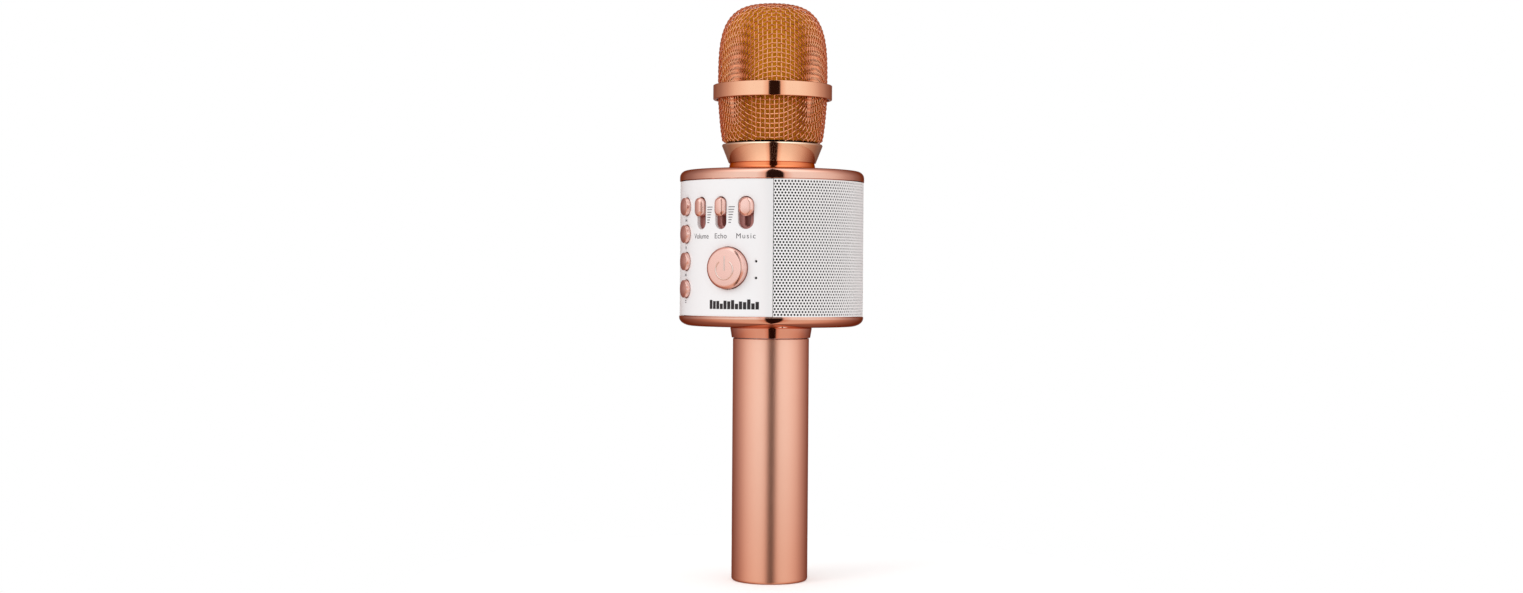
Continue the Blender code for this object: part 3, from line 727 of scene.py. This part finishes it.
    def draw(self, run, radius, begin, verts, faces):
        """Turn one wire's crossings into tubes, within the part that is kept."""
        per_cell, sides = 4, 6
        if len(run) < 2:
            return
        knots = np.array([self.point(*spot) for spot, _ in run])
        normals = np.array([self.normal(*spot) for spot, _ in run])
        along = np.array([spot[0] for spot, _ in run])
        lifts = np.array([lift for _, lift in run], float)
        ticks = np.arange((len(run) - 1) * per_cell + 1) / per_cell
        index = np.minimum(ticks.astype(int), len(run) - 2)
        share = (ticks - index)[:, None]
        places = knots[index] * (1 - share) + knots[index + 1] * share
        outward = normals[index] * (1 - share) + normals[index + 1] * share
        outward /= np.linalg.norm(outward, axis=1)[:, None]
        wave = lifts[index] * np.cos(np.pi * share[:, 0])
        places = places + outward * (radius * 1.02 * wave)[:, None]
        far = np.interp(ticks, np.arange(len(run)), along)
        kept = (far <= self.limit) & (far >= begin)
        edges = np.flatnonzero(np.diff(np.concatenate(([0], kept.astype(int), [0]))))
        for first, last in zip(edges[::2], edges[1::2]):
            if last - first > 2:
                tube(places[first:last], outward[first:last], radius, sides, verts, faces)


# ---------------------------------------------------------------- handle


def make_handle():
    """Blasted tube with a rounded end, and the plain collar above it."""
    low, high = levels("handle_tube")
    radius, wall = reach("handle_tube"), 1.2 * MM
    lathe("handle_skin", rounded([
        (0, low, 0), (radius, low, 1.3 * MM), (radius, high, 0.25 * MM),
        (radius - wall, high, 0), (radius - wall, low + 2 * MM, 0), (0, low + 2 * MM, 0)]),
        "satin", "housing", ("handle_tube",))
    low, high = levels("handle_collar")
    radius = reach("handle_collar")
    bore = 15.95 * MM
    lathe("handle_collar_turned", rounded([
        (bore, low, 0), (radius - 0.7 * MM, low, 0.2 * MM), (radius, high - 0.6 * MM, 0.5 * MM),
        (radius - 0.3 * MM, high, 0.1 * MM), (bore, high, 0)]),
        "dark_chrome", "housing", ("handle_collar",))


# ---------------------------------------------------------------- housing


def shell_radius():
    """Outside of the white shell."""
    return reach("top_cap") - SHELL_INSET


def drill(obj, verts, faces):
    """Cut a closed mesh out of a piece."""
    mesh = bpy.data.meshes.new("drill")
    mesh.from_pydata([tuple(v) for v in verts], [], faces)
    face_out(mesh)
    cutter = bpy.data.objects.new("drill", mesh)
    bpy.context.scene.collection.objects.link(cutter)
    modifier = obj.modifiers.new("holes", "BOOLEAN")
    modifier.operation = "DIFFERENCE"
    modifier.object = cutter
    depsgraph = bpy.context.evaluated_depsgraph_get()
    cut = bpy.data.meshes.new_from_object(obj.evaluated_get(depsgraph))
    obj.modifiers.clear()
    obj.data = cut
    cut.set_sharp_from_angle(angle=SHARP_ANGLE)
    bpy.data.objects.remove(cutter)


def make_caps():
    """Polished caps above and below the shell, and the screws in the lower one."""
    radius, hole, plate, (rim_in, rim_out) = reach("top_cap"), CAP_HOLE, CAP_PLATE, CAP_RIM
    nick = 0.12 * MM
    low, high = levels("top_cap")
    shell_top = low + CAP_LAP
    edge = ellipse_arc((radius - 2.95 * MM, high - 3.1 * MM), (2.95 * MM, 3.1 * MM), 0, 90, 24)
    lathe("top_cap_turned",
          [(radius - nick, shell_top), (radius, shell_top + nick)]
          + edge + [(hole, high), (hole, high - plate), (rim_in, high - plate),
                    (rim_in, low), (rim_out, low), (rim_out, shell_top)],
          "cap_chrome", "housing", ("top_cap",))
    low, high = levels("bottom_cap")
    shell_foot = high - CAP_LAP
    edge = ellipse_arc((radius - 6.0 * MM, low + 3.8 * MM), (6.0 * MM, 3.8 * MM), -90, 0, 24)
    cap = lathe("bottom_cap_turned", [(hole, low)] + edge
                + [(radius, shell_foot - nick), (radius - nick, shell_foot),
                   (rim_out, shell_foot), (rim_out, high), (rim_in, high),
                   (rim_in, low + plate), (hole, low + plate)],
                "cap_chrome", "housing", ("bottom_cap",))
    seat, shank = circle(2.7 * MM, 32), circle(1.55 * MM, 32)
    verts, faces = [], []
    for number in range(1, 5):
        azimuth, _ = middle(f"body_screw_{number}")
        place = facing(azimuth) @ Matrix.Translation((0, 0, 36 * MM))
        at = place.translation
        layers = [(seat, low - MM), (seat, low + 2.0 * MM), (shank, low + 2.0 * MM),
                  (shank, low + plate + MM)]
        more, loops = lofted(layers)
        start = len(verts)
        verts += [Vector(v) + at for v in more]
        faces += [[start + i for i in loop] for loop in loops]
        make_screw(number, low + 0.6 * MM, at)
    drill(cap, verts, faces)


def make_screw(number, head, at):
    """Long pan-head screw with a cross recess in its head."""
    top = levels(f"body_screw_{number}")[1]
    arm, waist, reach_out = 0.32 * MM, 0.42 * MM, 1.35 * MM
    cross = []
    for quarter in range(4):
        turn = math.pi / 2 * quarter
        for x, y in ((reach_out, -arm), (reach_out, arm), (waist, waist)):
            cross.append((x * math.cos(turn) - y * math.sin(turn),
                          x * math.sin(turn) + y * math.cos(turn)))
    around = circle(1.0, 12)

    def ring(radius):
        return [(radius * x, radius * y) for x, y in around]

    shrunk = [(0.5 * x, 0.5 * y) for x, y in cross]
    shank = 1.25 * MM
    loft(f"body_screw_{number}_turned", [
        (shrunk, head + 0.85 * MM), (cross, head), (ring(1.9 * MM), head),
        (ring(2.25 * MM), head + 0.12 * MM), (ring(2.4 * MM), head + 0.4 * MM),
        (ring(2.4 * MM), head + 1.2 * MM), (ring(shank), head + 1.2 * MM),
        (ring(shank), top - 0.5 * MM), (ring(shank - 0.4 * MM), top)],
        "steel", "housing", (f"body_screw_{number}",), Matrix.Translation(at))


def make_shell():
    """Control panel, port panel and the two perforated grilles with cloth behind."""
    radius = shell_radius()
    heights = levels("control_panel")
    holes = []
    for name, slot in SLOT_WIDTHS.items():
        azimuth, height = middle(f"{name}_slide_pot")
        holes.append((lambda grow, slot=slot: stadium(slot + 2 * grow, SLOT_LENGTH + 2 * grow),
                      azimuth, height))
    for number in range(1, 5):
        holes.append((lambda grow: circle(BUTTON_RADIUS + BUTTON_GAP + grow, 48),
                      *middle(f"button_{number}")))
    holes.append((lambda grow: circle(POWER_RADIUS + BUTTON_GAP + grow, 96),
                  *middle("power_button")))
    for lamp in ("lamp_upper", "lamp_lower"):
        holes.append((lambda grow: circle(LAMP_HOLE + 0.6 * grow, 16), *middle(lamp)))
    panel_edge, port_edge, seam = 41.0, 150.0, 0.13
    curved_sheet("control_panel_moulded", (seam - panel_edge, panel_edge - seam), heights,
                 radius, SHELL_WALL, holes, "white", ("control_panel",))

    socket = [(lambda grow: rounded([(x * (4.2 * MM + grow), y * (1.8 * MM + grow),
                                      1.6 * MM + grow) for x, y in
                                     ((1, 1), (-1, 1), (-1, -1), (1, -1))]),
               0.0, middle("usb_socket")[1]),
              (lambda grow: circle(3.4 * MM + grow, 40), 0.0, middle("audio_jack")[1])]
    rear = curved_sheet("port_panel_moulded", (port_edge - 180 + seam, 180 - port_edge - seam),
                        heights, radius, SHELL_WALL, socket, "white",
                        ("port_panel",))
    rear.data.transform(Matrix.Rotation(math.pi, 4, "Z"))
    wall, cloth = 0.5 * MM, 0.25 * MM
    for side, sign in (("right", 1), ("left", -1)):
        ends = sorted((sign * (panel_edge + seam), sign * (port_edge - seam)))
        perforated_sheet(f"speaker_grille_{side}_pierced", ends, heights, radius, wall,
                         "paint", (f"speaker_grille_{side}",))
        curved_sheet(f"speaker_cloth_{side}", [a + s * 0.3 for a, s in zip(ends, (1, -1))],
                     heights, radius - wall - 0.1 * MM, cloth, [], "liner",
                     ())


# ---------------------------------------------------------------- controls


def make_sliders():
    """Knobs with chamfered crowns, each over a grooved brown plate."""
    foot, groove_foot, top, rim = (depth * MM for depth in (33.0, 34.5, 38.0, 39.4))
    lip, blend, tall = 0.7 * MM, 0.4 * MM, 10.5 * MM
    for name, slot in SLOT_WIDTHS.items():
        wide = slot / 2 + 0.5 * MM

        def frame_outline(inset):
            x, y = wide - inset, tall - inset
            return rounded([(x, y, blend), (-x, y, blend), (-x, -y, blend), (x, -y, blend)])

        def slotted(width, length):
            return stadium(width, length, 13)

        groove, liner = slotted(2.8 * MM, 12.0 * MM), slotted(slot, SLOT_LENGTH)
        around = slotted(slot + lip, SLOT_LENGTH + lip)
        loft(f"{name}_slide_plate", [
            (frame_outline(0), foot), (frame_outline(0), top - 0.2 * MM),
            (frame_outline(0.2 * MM), top), (around, top), (around, rim), (liner, rim),
            (liner, top), (slotted(3.1 * MM, 12.3 * MM), top), (groove, top - 0.15 * MM),
            (groove, groove_foot)],
            "brown", "housing", (f"{name}_slide_pot",),
            at(f"{name}_slide_pot"))
        width, length = slot - 2 * KNOB_MARGIN, KNOB_LENGTH

        def cap(inset, depth):
            return stadium(width - 2 * inset * MM, length - 2 * inset * MM, 20), depth * MM

        lever = stadium(1.8 * MM, 3.6 * MM, 20)
        loft(f"{name}_knob_turned", [
            (lever, 35.5 * MM), (lever, 38.9 * MM), cap(0.15, 38.9), cap(0, 39.05),
            cap(0, 42.55), cap(0.04, 42.72), cap(0.16, 42.88), cap(0.78, 43.42),
            cap(0.92, 43.54), cap(1.12, 43.6)],
            "button", name, (f"{name}_knob",), at(f"{name}_knob"))


def flanged(radius, flange):
    """Start of a button's section: the flange that keeps it behind the panel."""
    wide = radius + 0.8 * MM
    return [(0, flange[0]), (wide, flange[0]), (wide, flange[1]), (radius, flange[1])]


def button_outline(radius, flange, shoulder, crown, round_by):
    """Section of a button: flange behind the panel, straight wall, crowned face."""
    face = []
    for i in range(13):
        r = (radius - round_by) * (1 - i / 12)
        face.append((r, crown - (crown - shoulder) * (r / (radius - round_by)) ** 2))
    wall_top = shoulder - round_by
    edge = ellipse_arc((radius - round_by, wall_top), (round_by, round_by), 0, 90, 8)
    return flanged(radius, flange) + edge + face[1:]


def make_buttons():
    """Four small domed buttons and the power button with its raised sign."""
    flange, shoulder, crown, round_by = (38.0 * MM, 39.0 * MM), 42.9 * MM, 43.5 * MM, 0.3 * MM
    outline = button_outline(BUTTON_RADIUS, flange, shoulder, crown, round_by)
    for name in (f"button_{number}" for number in range(1, 5)):
        lathe(f"{name}_turned", outline, "button", name, (name,), steps=64,
              place=at(name))
    radius, rim, crown = POWER_RADIUS, 43.6 * MM, 44.6 * MM
    flange = (37.2 * MM, 38.0 * MM)
    bevel = [(radius - inward * MM, rim + up * MM) for inward, up in
             ((0, -0.1), (0.04, 0), (0.14, 0.1), (0.80, 0.66), (0.92, 0.74), (1.10, 0.79))]
    inner, lift = bevel[-1]
    face = [(inner * (1 - i / 16), crown - (crown - lift) * (1 - i / 16) ** 2)
            for i in range(1, 17)]
    lathe("power_button_turned", flanged(radius, flange) + bevel + face, "button", "power",
          ("power_button",), steps=128, place=at("power_button"))

    def on_face(x, y):
        share = min(math.hypot(x, y) / inner, 1.0)
        return Vector((x, y, crown - (crown - lift) * share ** 2))

    sign_radius, line, drop, opening = 4.2 * MM, 0.33 * MM, 0.75 * MM, 36
    bar_foot, bar_length = -0.4 * MM - drop, 6.3 * MM
    arc = [on_face(sign_radius * math.sin(math.radians(a)),
                   sign_radius * math.cos(math.radians(a)) - drop)
           for a in range(opening, 361 - opening, 4)]
    bar = [on_face(0, bar_foot + bar_length * i / 10) for i in range(11)]
    verts, faces = [], []
    for path in (arc, bar):
        tube(np.array([p[:] for p in path]), np.array([(0, 0, 1.0)] * len(path)), line, 10,
             verts, faces)
    piece("power_sign", verts, faces, "sign", "power", (),
          at("power_button"))
    radius, foot, shoulder, rise = 1.1 * MM, 36.8 * MM, 38.2 * MM, 1.0 * MM
    outline = ([(0, foot), (radius, foot)]
               + ellipse_arc((0, shoulder), (radius, rise), 0, 90, 8)[:-1]
               + [(0, shoulder + rise)])
    for lamp in ("lamp_upper", "lamp_lower"):
        lathe(f"{lamp}_moulded", outline, "lens", "housing", (lamp,), steps=24,
              place=at(lamp))


# ---------------------------------------------------------------- printing


def on_shell(azimuth, height, lift):
    """Function from a place in a facing view to the shell's surface, raised by a lift."""
    radius = shell_radius()
    level, start = radius + lift, math.radians(azimuth) * radius
    return lambda x, y: wrap(level, (start + x) * level / radius, height + y)


def printed(name, shapes, azimuth, height, look="grey_ink"):
    """Flat ink shapes laid on the panel, each a list of points in a facing view."""
    verts, faces = [], []
    for shape in shapes:
        base, count = len(verts), len(shape)
        for lift in INK_DEPTHS:
            place = on_shell(azimuth, height, lift)
            verts += [place(x, y) for x, y in shape]
        faces.append([base + i for i in reversed(range(count))])
        faces.append([base + count + i for i in range(count)])
        faces += [(base + i, base + (i + 1) % count, base + count + (i + 1) % count,
                   base + count + i) for i in range(count)]
    return piece(name, verts, faces, look, "housing")


def bar_shape(x, y, width, height):
    """Rectangle about a centre."""
    return [(x - width / 2, y - height / 2), (x + width / 2, y - height / 2),
            (x + width / 2, y + height / 2), (x - width / 2, y + height / 2)]


def lettering(name, words, azimuth, height, size, spacing):
    """One plain word in the built-in font, laid on the panel."""
    text = bpy.data.curves.new(name, "FONT")
    text.body, text.size, text.space_character = words, size, spacing
    text.align_x, text.align_y = "CENTER", "CENTER"
    text.extrude = (INK_DEPTHS[1] - INK_DEPTHS[0]) / 2
    text.resolution_u = 4
    holder = bpy.data.objects.new(name + "_text", text)
    bpy.context.scene.collection.objects.link(holder)
    mesh = bpy.data.meshes.new_from_object(holder)
    bpy.data.objects.remove(holder)
    under, over = (on_shell(azimuth, height, lift) for lift in INK_DEPTHS)
    verts = [(over if v.co.z > 0 else under)(v.co.x, v.co.y) for v in mesh.vertices]
    faces = [list(p.vertices) for p in mesh.polygons]
    return piece(name, verts, faces, "grey_ink", "housing")


def make_printing():
    """Scales and plain words by the sliders, signs by the buttons, and level bars."""
    for name, word, spacing in (("volume", "Volume", 0.98), ("echo", "Echo", 1.05),
                                ("music", "Music", 1.25)):
        azimuth, _ = middle(f"{name}_slide_pot")
        lettering(f"{name}_word", word, azimuth, WORD_HEIGHT, 3.2 * MM, spacing)
    for name in ("volume", "echo"):
        azimuth, height = middle(f"{name}_slide_pot")
        ticks = []
        for i in range(7):
            width, up = (3.0 - 0.3 * i) * MM, (2.5 - 1.12 * i) * MM
            ticks.append(bar_shape(4.0 * MM + width / 2, up, width, INK_LINE))
        printed(f"{name}_scale", ticks, azimuth, height)
    size = 0.7 * MM
    stop = 1.4 * size  # from the middle of a skip sign to its bar
    play = [(-size, -size), (size, 0), (-size, size)]
    signs = {
        1: [play, bar_shape(stop, 0, 0.3 * MM, 2 * size)],
        2: [bar_shape(x, 0, INK_LINE, 2 * size) for x in (-INK_LINE, INK_LINE)],
        3: [[(-x, y) for x, y in reversed(play)], bar_shape(-stop, 0, 0.3 * MM, 2 * size)],
        4: [bar_shape(0, y, 2 * size, INK_LINE) for y in (0, 0.8 * MM)],
    }
    for number, shapes in signs.items():
        azimuth, height = middle(f"button_{number}")
        printed(f"button_{number}_sign", shapes, azimuth - 0.8, height - 6.0 * MM)
    bars, count, pitch, width, least = [], 13, 1.86 * MM, 1.5 * MM, 2.2 * MM
    for i in range(count):
        share = 0.5 + 0.5 * math.sin(2.3 * i + 0.6) * math.cos(0.9 * i)
        tall = least * (1 + share)
        bars.append(bar_shape((i - (count - 1) / 2) * pitch, tall / 2 - least, width, tall))
    printed("level_bars", bars, BARS_AZIMUTH, BARS_HEIGHT, "black_ink")


# ---------------------------------------------------------------- neck and head


def make_neck():
    """Neck ring with a flared foot, and the thread that the head screws onto."""
    low, top = levels("neck_ring")
    flare, neck, spigot, bore, plug = (r * MM for r in (21.7, 19.3, 17.2, 13.0, 15.7))
    foot, shelf, arc = low + 6.1 * MM, low + 9.2 * MM, 2.2 * MM
    lathe("neck_ring_turned", [(bore, low), (plug, low), (plug, foot), (flare - 0.1 * MM, foot)]
          + ellipse_arc((flare, foot + arc), (flare - neck, arc), 268, 180, 12)
          + rounded([(neck, shelf, 0.2 * MM), (spigot, shelf, 0), (spigot, top, 0.3 * MM),
                     (bore, top, 0)]),
          "neck_chrome", "housing", ("neck_ring",))
    pitch, turns, steps, height = 1.5 * MM, 3.6, 96, 0.24 * MM
    section = [(-0.1 * MM, -0.45 * MM), (height, -0.12 * MM), (height, 0.12 * MM),
               (-0.1 * MM, 0.45 * MM)]
    verts, faces = [], []
    total = round(turns * steps)
    for i in range(total + 1):
        angle = 2 * math.pi * i / steps
        fade = min(i, total - i, steps // 6) / (steps // 6)
        for out, up in section:
            r = spigot + (out if out < 0 else out * fade)
            z = shelf + 1.0 * MM + pitch * i / steps + up
            verts.append((r * math.cos(angle), r * math.sin(angle), z))
    for i in range(total):
        for k in range(4):
            a, b = i * 4 + k, i * 4 + (k + 1) % 4
            faces.append((a, b, b + 4, a + 4))
    faces += [(3, 2, 1, 0), tuple(total * 4 + k for k in range(4))]
    piece("neck_thread", verts, faces, "chrome", "housing")


def make_head():
    """Collar, band, woven mesh and foam of the screw-on head."""
    low, high = levels("head_collar")
    radius, bore, throat, foot = reach("head_collar"), 17.5 * MM, 20.3 * MM, 19.6 * MM
    lathe("head_collar_turned", rounded([
        (bore, low, 0), (foot, low, 0.25 * MM), (radius, high - 0.6 * MM, 0.35 * MM),
        (radius - 0.3 * MM, high, 0.1 * MM), (throat, high, 0),
        (throat, COLLAR_TOP - 1.2 * MM, 0), (bore, COLLAR_TOP - 2.2 * MM, 0)]),
        "pale_chrome", "head", ("head_collar",))
    low, high = levels("grille_ring")
    radius, bore, hole, (under, over) = reach("grille_ring"), 25.3 * MM, 21.5 * MM, RING_WEB
    lathe("grille_ring_turned", rounded([
        (hole, under, 0), (bore, under, 0), (bore, low, 0.2 * MM), (radius, low, 0.3 * MM),
        (radius, high, 0.3 * MM), (bore, high, 0.2 * MM), (bore, over, 0), (hole, over, 0)]),
        "chrome", "head", ("grille_ring",))
    wire, pitch = 0.215 * MM, 2.08 * MM
    inset = 2.05 * wire
    foot, top = levels("grille_dome")
    side = reach("grille_dome") - inset
    rise = top - inset - DOME_SHOULDER
    profile = []
    for i in range(121):
        angle = math.radians(90 * (1 - i / 120))
        profile.append((side * max(math.cos(angle), 0.0) ** (2 / DOME_POWER),
                        DOME_SHOULDER + rise * math.sin(angle) ** (2 / DOME_POWER)))
    profile.append((side, foot))
    weave("dome", DrawnNet(profile, pitch, 44.0), wire, 0.0)
    foot, top = levels("grille_basket")
    profile = [(0.0, foot), (basket_radius(foot) - inset, foot)]
    profile += [(basket_radius(z) - inset, z)
                for z in (foot + (top - foot) * (i / 60) ** 1.6 for i in range(1, 61))]
    net = DrawnNet(profile, pitch, 37.0)
    weave("basket", net, wire, net.lengths[1])
    make_foam()


def weave(name, net, wire, begin):
    """Two sets of wires, each its own piece."""
    for family, label in ((0, "warp"), (1, "weft")):
        verts, faces = net.wires(wire, begin, family)
        piece(f"{name}_wires_{label}", verts, faces, "wire", "head",
              (f"grille_{name}",))


def basket_radius(height):
    """Outside of the lower mesh, which swells quickly above its collar."""
    share = min(max((height - COLLAR_TOP) / (RING_FOOT - COLLAR_TOP), 0.0), 1.0)
    return (21.9 + 2.8 * math.sqrt(share)) * MM


def make_foam():
    """Open-cell linings behind the mesh, with a slightly uneven skin."""
    foot, top = levels("dome_foam")
    side = reach("dome_foam")

    def dome(inset, count):
        r, rise = side - inset, top - inset - DOME_SHOULDER
        return [(r, foot)] + [
            (r * max(math.cos(t), 0.0) ** (2 / DOME_POWER),
             DOME_SHOULDER + rise * math.sin(t) ** (2 / DOME_POWER))
            for t in (math.radians(90 * i / count) for i in range(count + 1))]

    def skirt(inset, count):
        low, high = levels("basket_foam")
        return [(basket_radius(z) - 1.7 * MM - inset, z)
                for z in (low + (high - low) * (i / count) ** 1.6 for i in range(count + 1))]

    for name, line in (("dome", dome), ("basket", skirt)):
        outline = line(0, 48) + line(FOAM_WALL, 24)[::-1]
        verts, faces = turned(outline, 144)
        uneven = []
        for v in verts:
            p = Vector(v)
            out = Vector((p.x, p.y, max(p.z - DOME_SHOULDER, 0.0))).normalized()
            uneven.append(p + out * noise.noise(p * 260) * 0.12 * MM)
        # The dome's foam gets the copy painted lighter, as light from above, and the basket's
        # gets the copy painted darker, as painted shade.
        foam = piece(f"{name}_foam_cut", uneven, faces, f"{name}_foam", "head",
                     (f"{name}_foam",))


# ---------------------------------------------------------------- pieces kept from the CAD


KEPT_LOOKS = {
    "black": ["battery_cradle", "control_carrier", "speaker_chassis", "audio_jack",
              "power_switch", "button_1_switch", "button_2_switch", "button_3_switch",
              "button_4_switch"],
    "steel": ["battery_spring", "driver_right", "driver_left", "usb_socket", "handle_stub",
              "mic_capsule"],
    "wrap": ["battery_cell"],
    "board": ["main_board", "port_board"],
    "paper": ["driver_cone_right", "driver_cone_left"],
    "rubber": ["head_gasket", "capsule_boot", "battery_lead", "mic_lead",
               "speaker_lead_right", "speaker_lead_left"],
}


def dress_kept_nodes():
    """Give the inner CAD nodes their finishes."""
    for look, nodes in KEPT_LOOKS.items():
        for node in nodes:
            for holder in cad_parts[node].material_slots:
                holder.material = LOOKS[look]


# ---------------------------------------------------------------- studio


def make_camera():
    """Camera level with the housing, aimed a little below its own height."""
    view = facing(CAMERA_AZIMUTH)
    data = bpy.data.cameras.new("view")
    data.lens = CAMERA_LENS
    data.clip_start, data.clip_end = 0.01, 50.0
    camera = bpy.data.objects.new("view", data)
    bpy.context.scene.collection.objects.link(camera)
    camera.location = view @ Vector((0, CAMERA_HEIGHT, CAMERA_DISTANCE))
    ahead = view @ Vector((AIM_SIDE, AIM_HEIGHT, 0)) - camera.location
    camera.rotation_mode = "QUATERNION"
    camera.rotation_quaternion = (ahead.to_track_quat("-Z", "Y")
                                  @ Quaternion((0, 0, 1), CAMERA_ROLL))
    bpy.context.scene.camera = camera


# Light tent seen by the metal: degrees from the gap in front, and the colour there
TENT = [(0, (0.022, 0.009, 0.007)), (10.0, (0.022, 0.009, 0.007)),
        (12.5, (0.86, 0.62, 0.54)), (23, (1.0, 1.0, 1.0)), (47, (1.0, 1.0, 1.0)),
        (64, (0.95, 0.88, 0.86)), (81, (0.84, 0.71, 0.67)),
        (101, (0.60, 0.43, 0.39)), (125, (0.39, 0.26, 0.24)), (150, (0.35, 0.24, 0.23)),
        (180, (0.45, 0.33, 0.30))]
TENT_GAP = 3.5  # degrees from the camera's azimuth to the middle of the gap
UNDERSIDE = (0.92, 0.62, 0.48, 1.0)  # tint of the tent below the horizon
WHITE = (1.0, 1.0, 1.0, 1.0)
SOFT_WHITE = (0.86, 0.86, 0.86, 1.0)  # what lights the matt surfaces


def make_world():
    """White tent with a dark gap in front, darker behind, brighter towards its roof."""
    world = bpy.data.worlds.new("light_tent")
    world.use_nodes = True
    bpy.context.scene.world = world
    tree = world.node_tree
    sky = tree.nodes["Background"]

    def add(kind, **settings):
        node = tree.nodes.new("ShaderNode" + kind)
        for key, value in settings.items():
            setattr(node, key, value)
        return node

    def feed(node, *values):
        for socket, value in zip(node.inputs, values):
            if isinstance(value, bpy.types.NodeSocket):
                tree.links.new(value, socket)
            else:
                socket.default_value = value
        return node.outputs[0]

    def calculate(operation, *values):
        return feed(add("Math", operation=operation), *values)

    def choose(share, first, second):
        return feed(add("MixRGB"), share, first, second)

    turn = add("VectorRotate", rotation_type="Z_AXIS")
    turn.inputs["Angle"].default_value = -math.radians(CAMERA_AZIMUTH + TENT_GAP)
    parts = add("SeparateXYZ")
    feed(parts, feed(turn, add("TexCoord").outputs["Generated"]))
    x, y, z = parts.outputs

    def ease(begin, end, low, high):
        node = add("MapRange", interpolation_type="SMOOTHSTEP")
        return feed(node, z, begin, end, low, high)

    azimuth = calculate("ARCTAN2", x, calculate("MULTIPLY", y, -1.0))
    ramp = add("ValToRGB")
    stops = ramp.color_ramp.elements
    for degrees, colour in TENT[1:-1]:
        stops.new(degrees / 180).color = (*colour, 1)
    stops[0].color, stops[-1].color = (*TENT[0][1], 1), (*TENT[-1][1], 1)
    around = feed(ramp, calculate("DIVIDE", calculate("ABSOLUTE", azimuth), math.pi))
    below = choose(ease(-0.3, -0.08, 0.0, 1.0), UNDERSIDE, WHITE)
    tent = add("VectorMath", operation="SCALE")
    feed(tent, feed(add("VectorMath", operation="MULTIPLY"), below, around))
    tree.links.new(calculate("MULTIPLY", ease(0.5, 0.75, 1.0, 1.3), ease(-0.14, 0.0, 0.85, 1.0)),
                   tent.inputs["Scale"])
    rays = add("LightPath").outputs
    soft = choose(rays["Is Diffuse Ray"], tent.outputs[0], SOFT_WHITE)
    feed(sky, choose(rays["Is Camera Ray"], soft, WHITE))


def make_floor():
    """Pale round table under the microphone."""
    verts = [(0.16 * x, 0.16 * y, 0.0) for x, y in circle(1.0, 96)]
    mesh = bpy.data.meshes.new("table")
    mesh.from_pydata(verts, [], [tuple(range(len(verts)))])
    look, shader, coords, add, link = shader_of("table_white")
    fine = grain(add, link, coords, 40.0)
    link(blend_colour(add, link, fine, (0.93, 0.93, 0.93), (0.95, 0.95, 0.95)),
         shader.inputs["Base Color"])
    shader.inputs["Roughness"].default_value = 0.8
    shader.inputs["Emission Color"].default_value = (1, 1, 1, 1)
    shader.inputs["Emission Strength"].default_value = 0.25
    mesh.materials.append(look)
    table = bpy.data.objects.new("table", mesh)
    bpy.context.scene.collection.objects.link(table)
    table.visible_glossy = False


def make_lights():
    """Large soft key at the front left, which adds shape to the matt surfaces."""
    data = bpy.data.lights.new("key", "AREA")
    data.shape, data.size, data.energy = "DISK", 0.7, 3.0
    key = bpy.data.objects.new("key", data)
    bpy.context.scene.collection.objects.link(key)
    key.location = facing(CAMERA_AZIMUTH - 50) @ Vector((0, 0.75, 1.1))
    aim = Vector((0, 0, 0.13)) - key.location
    key.rotation_mode = "QUATERNION"
    key.rotation_quaternion = aim.to_track_quat("-Z", "Y")
    key.visible_glossy = False
    bpy.context.scene.view_settings.view_transform = "Standard"


def main():
    make_camera()
    make_world()
    make_floor()
    make_lights()
    make_handle()
    make_caps()
    make_shell()
    make_sliders()
    make_buttons()
    make_printing()
    make_neck()
    make_head()
    dress_kept_nodes()


main()
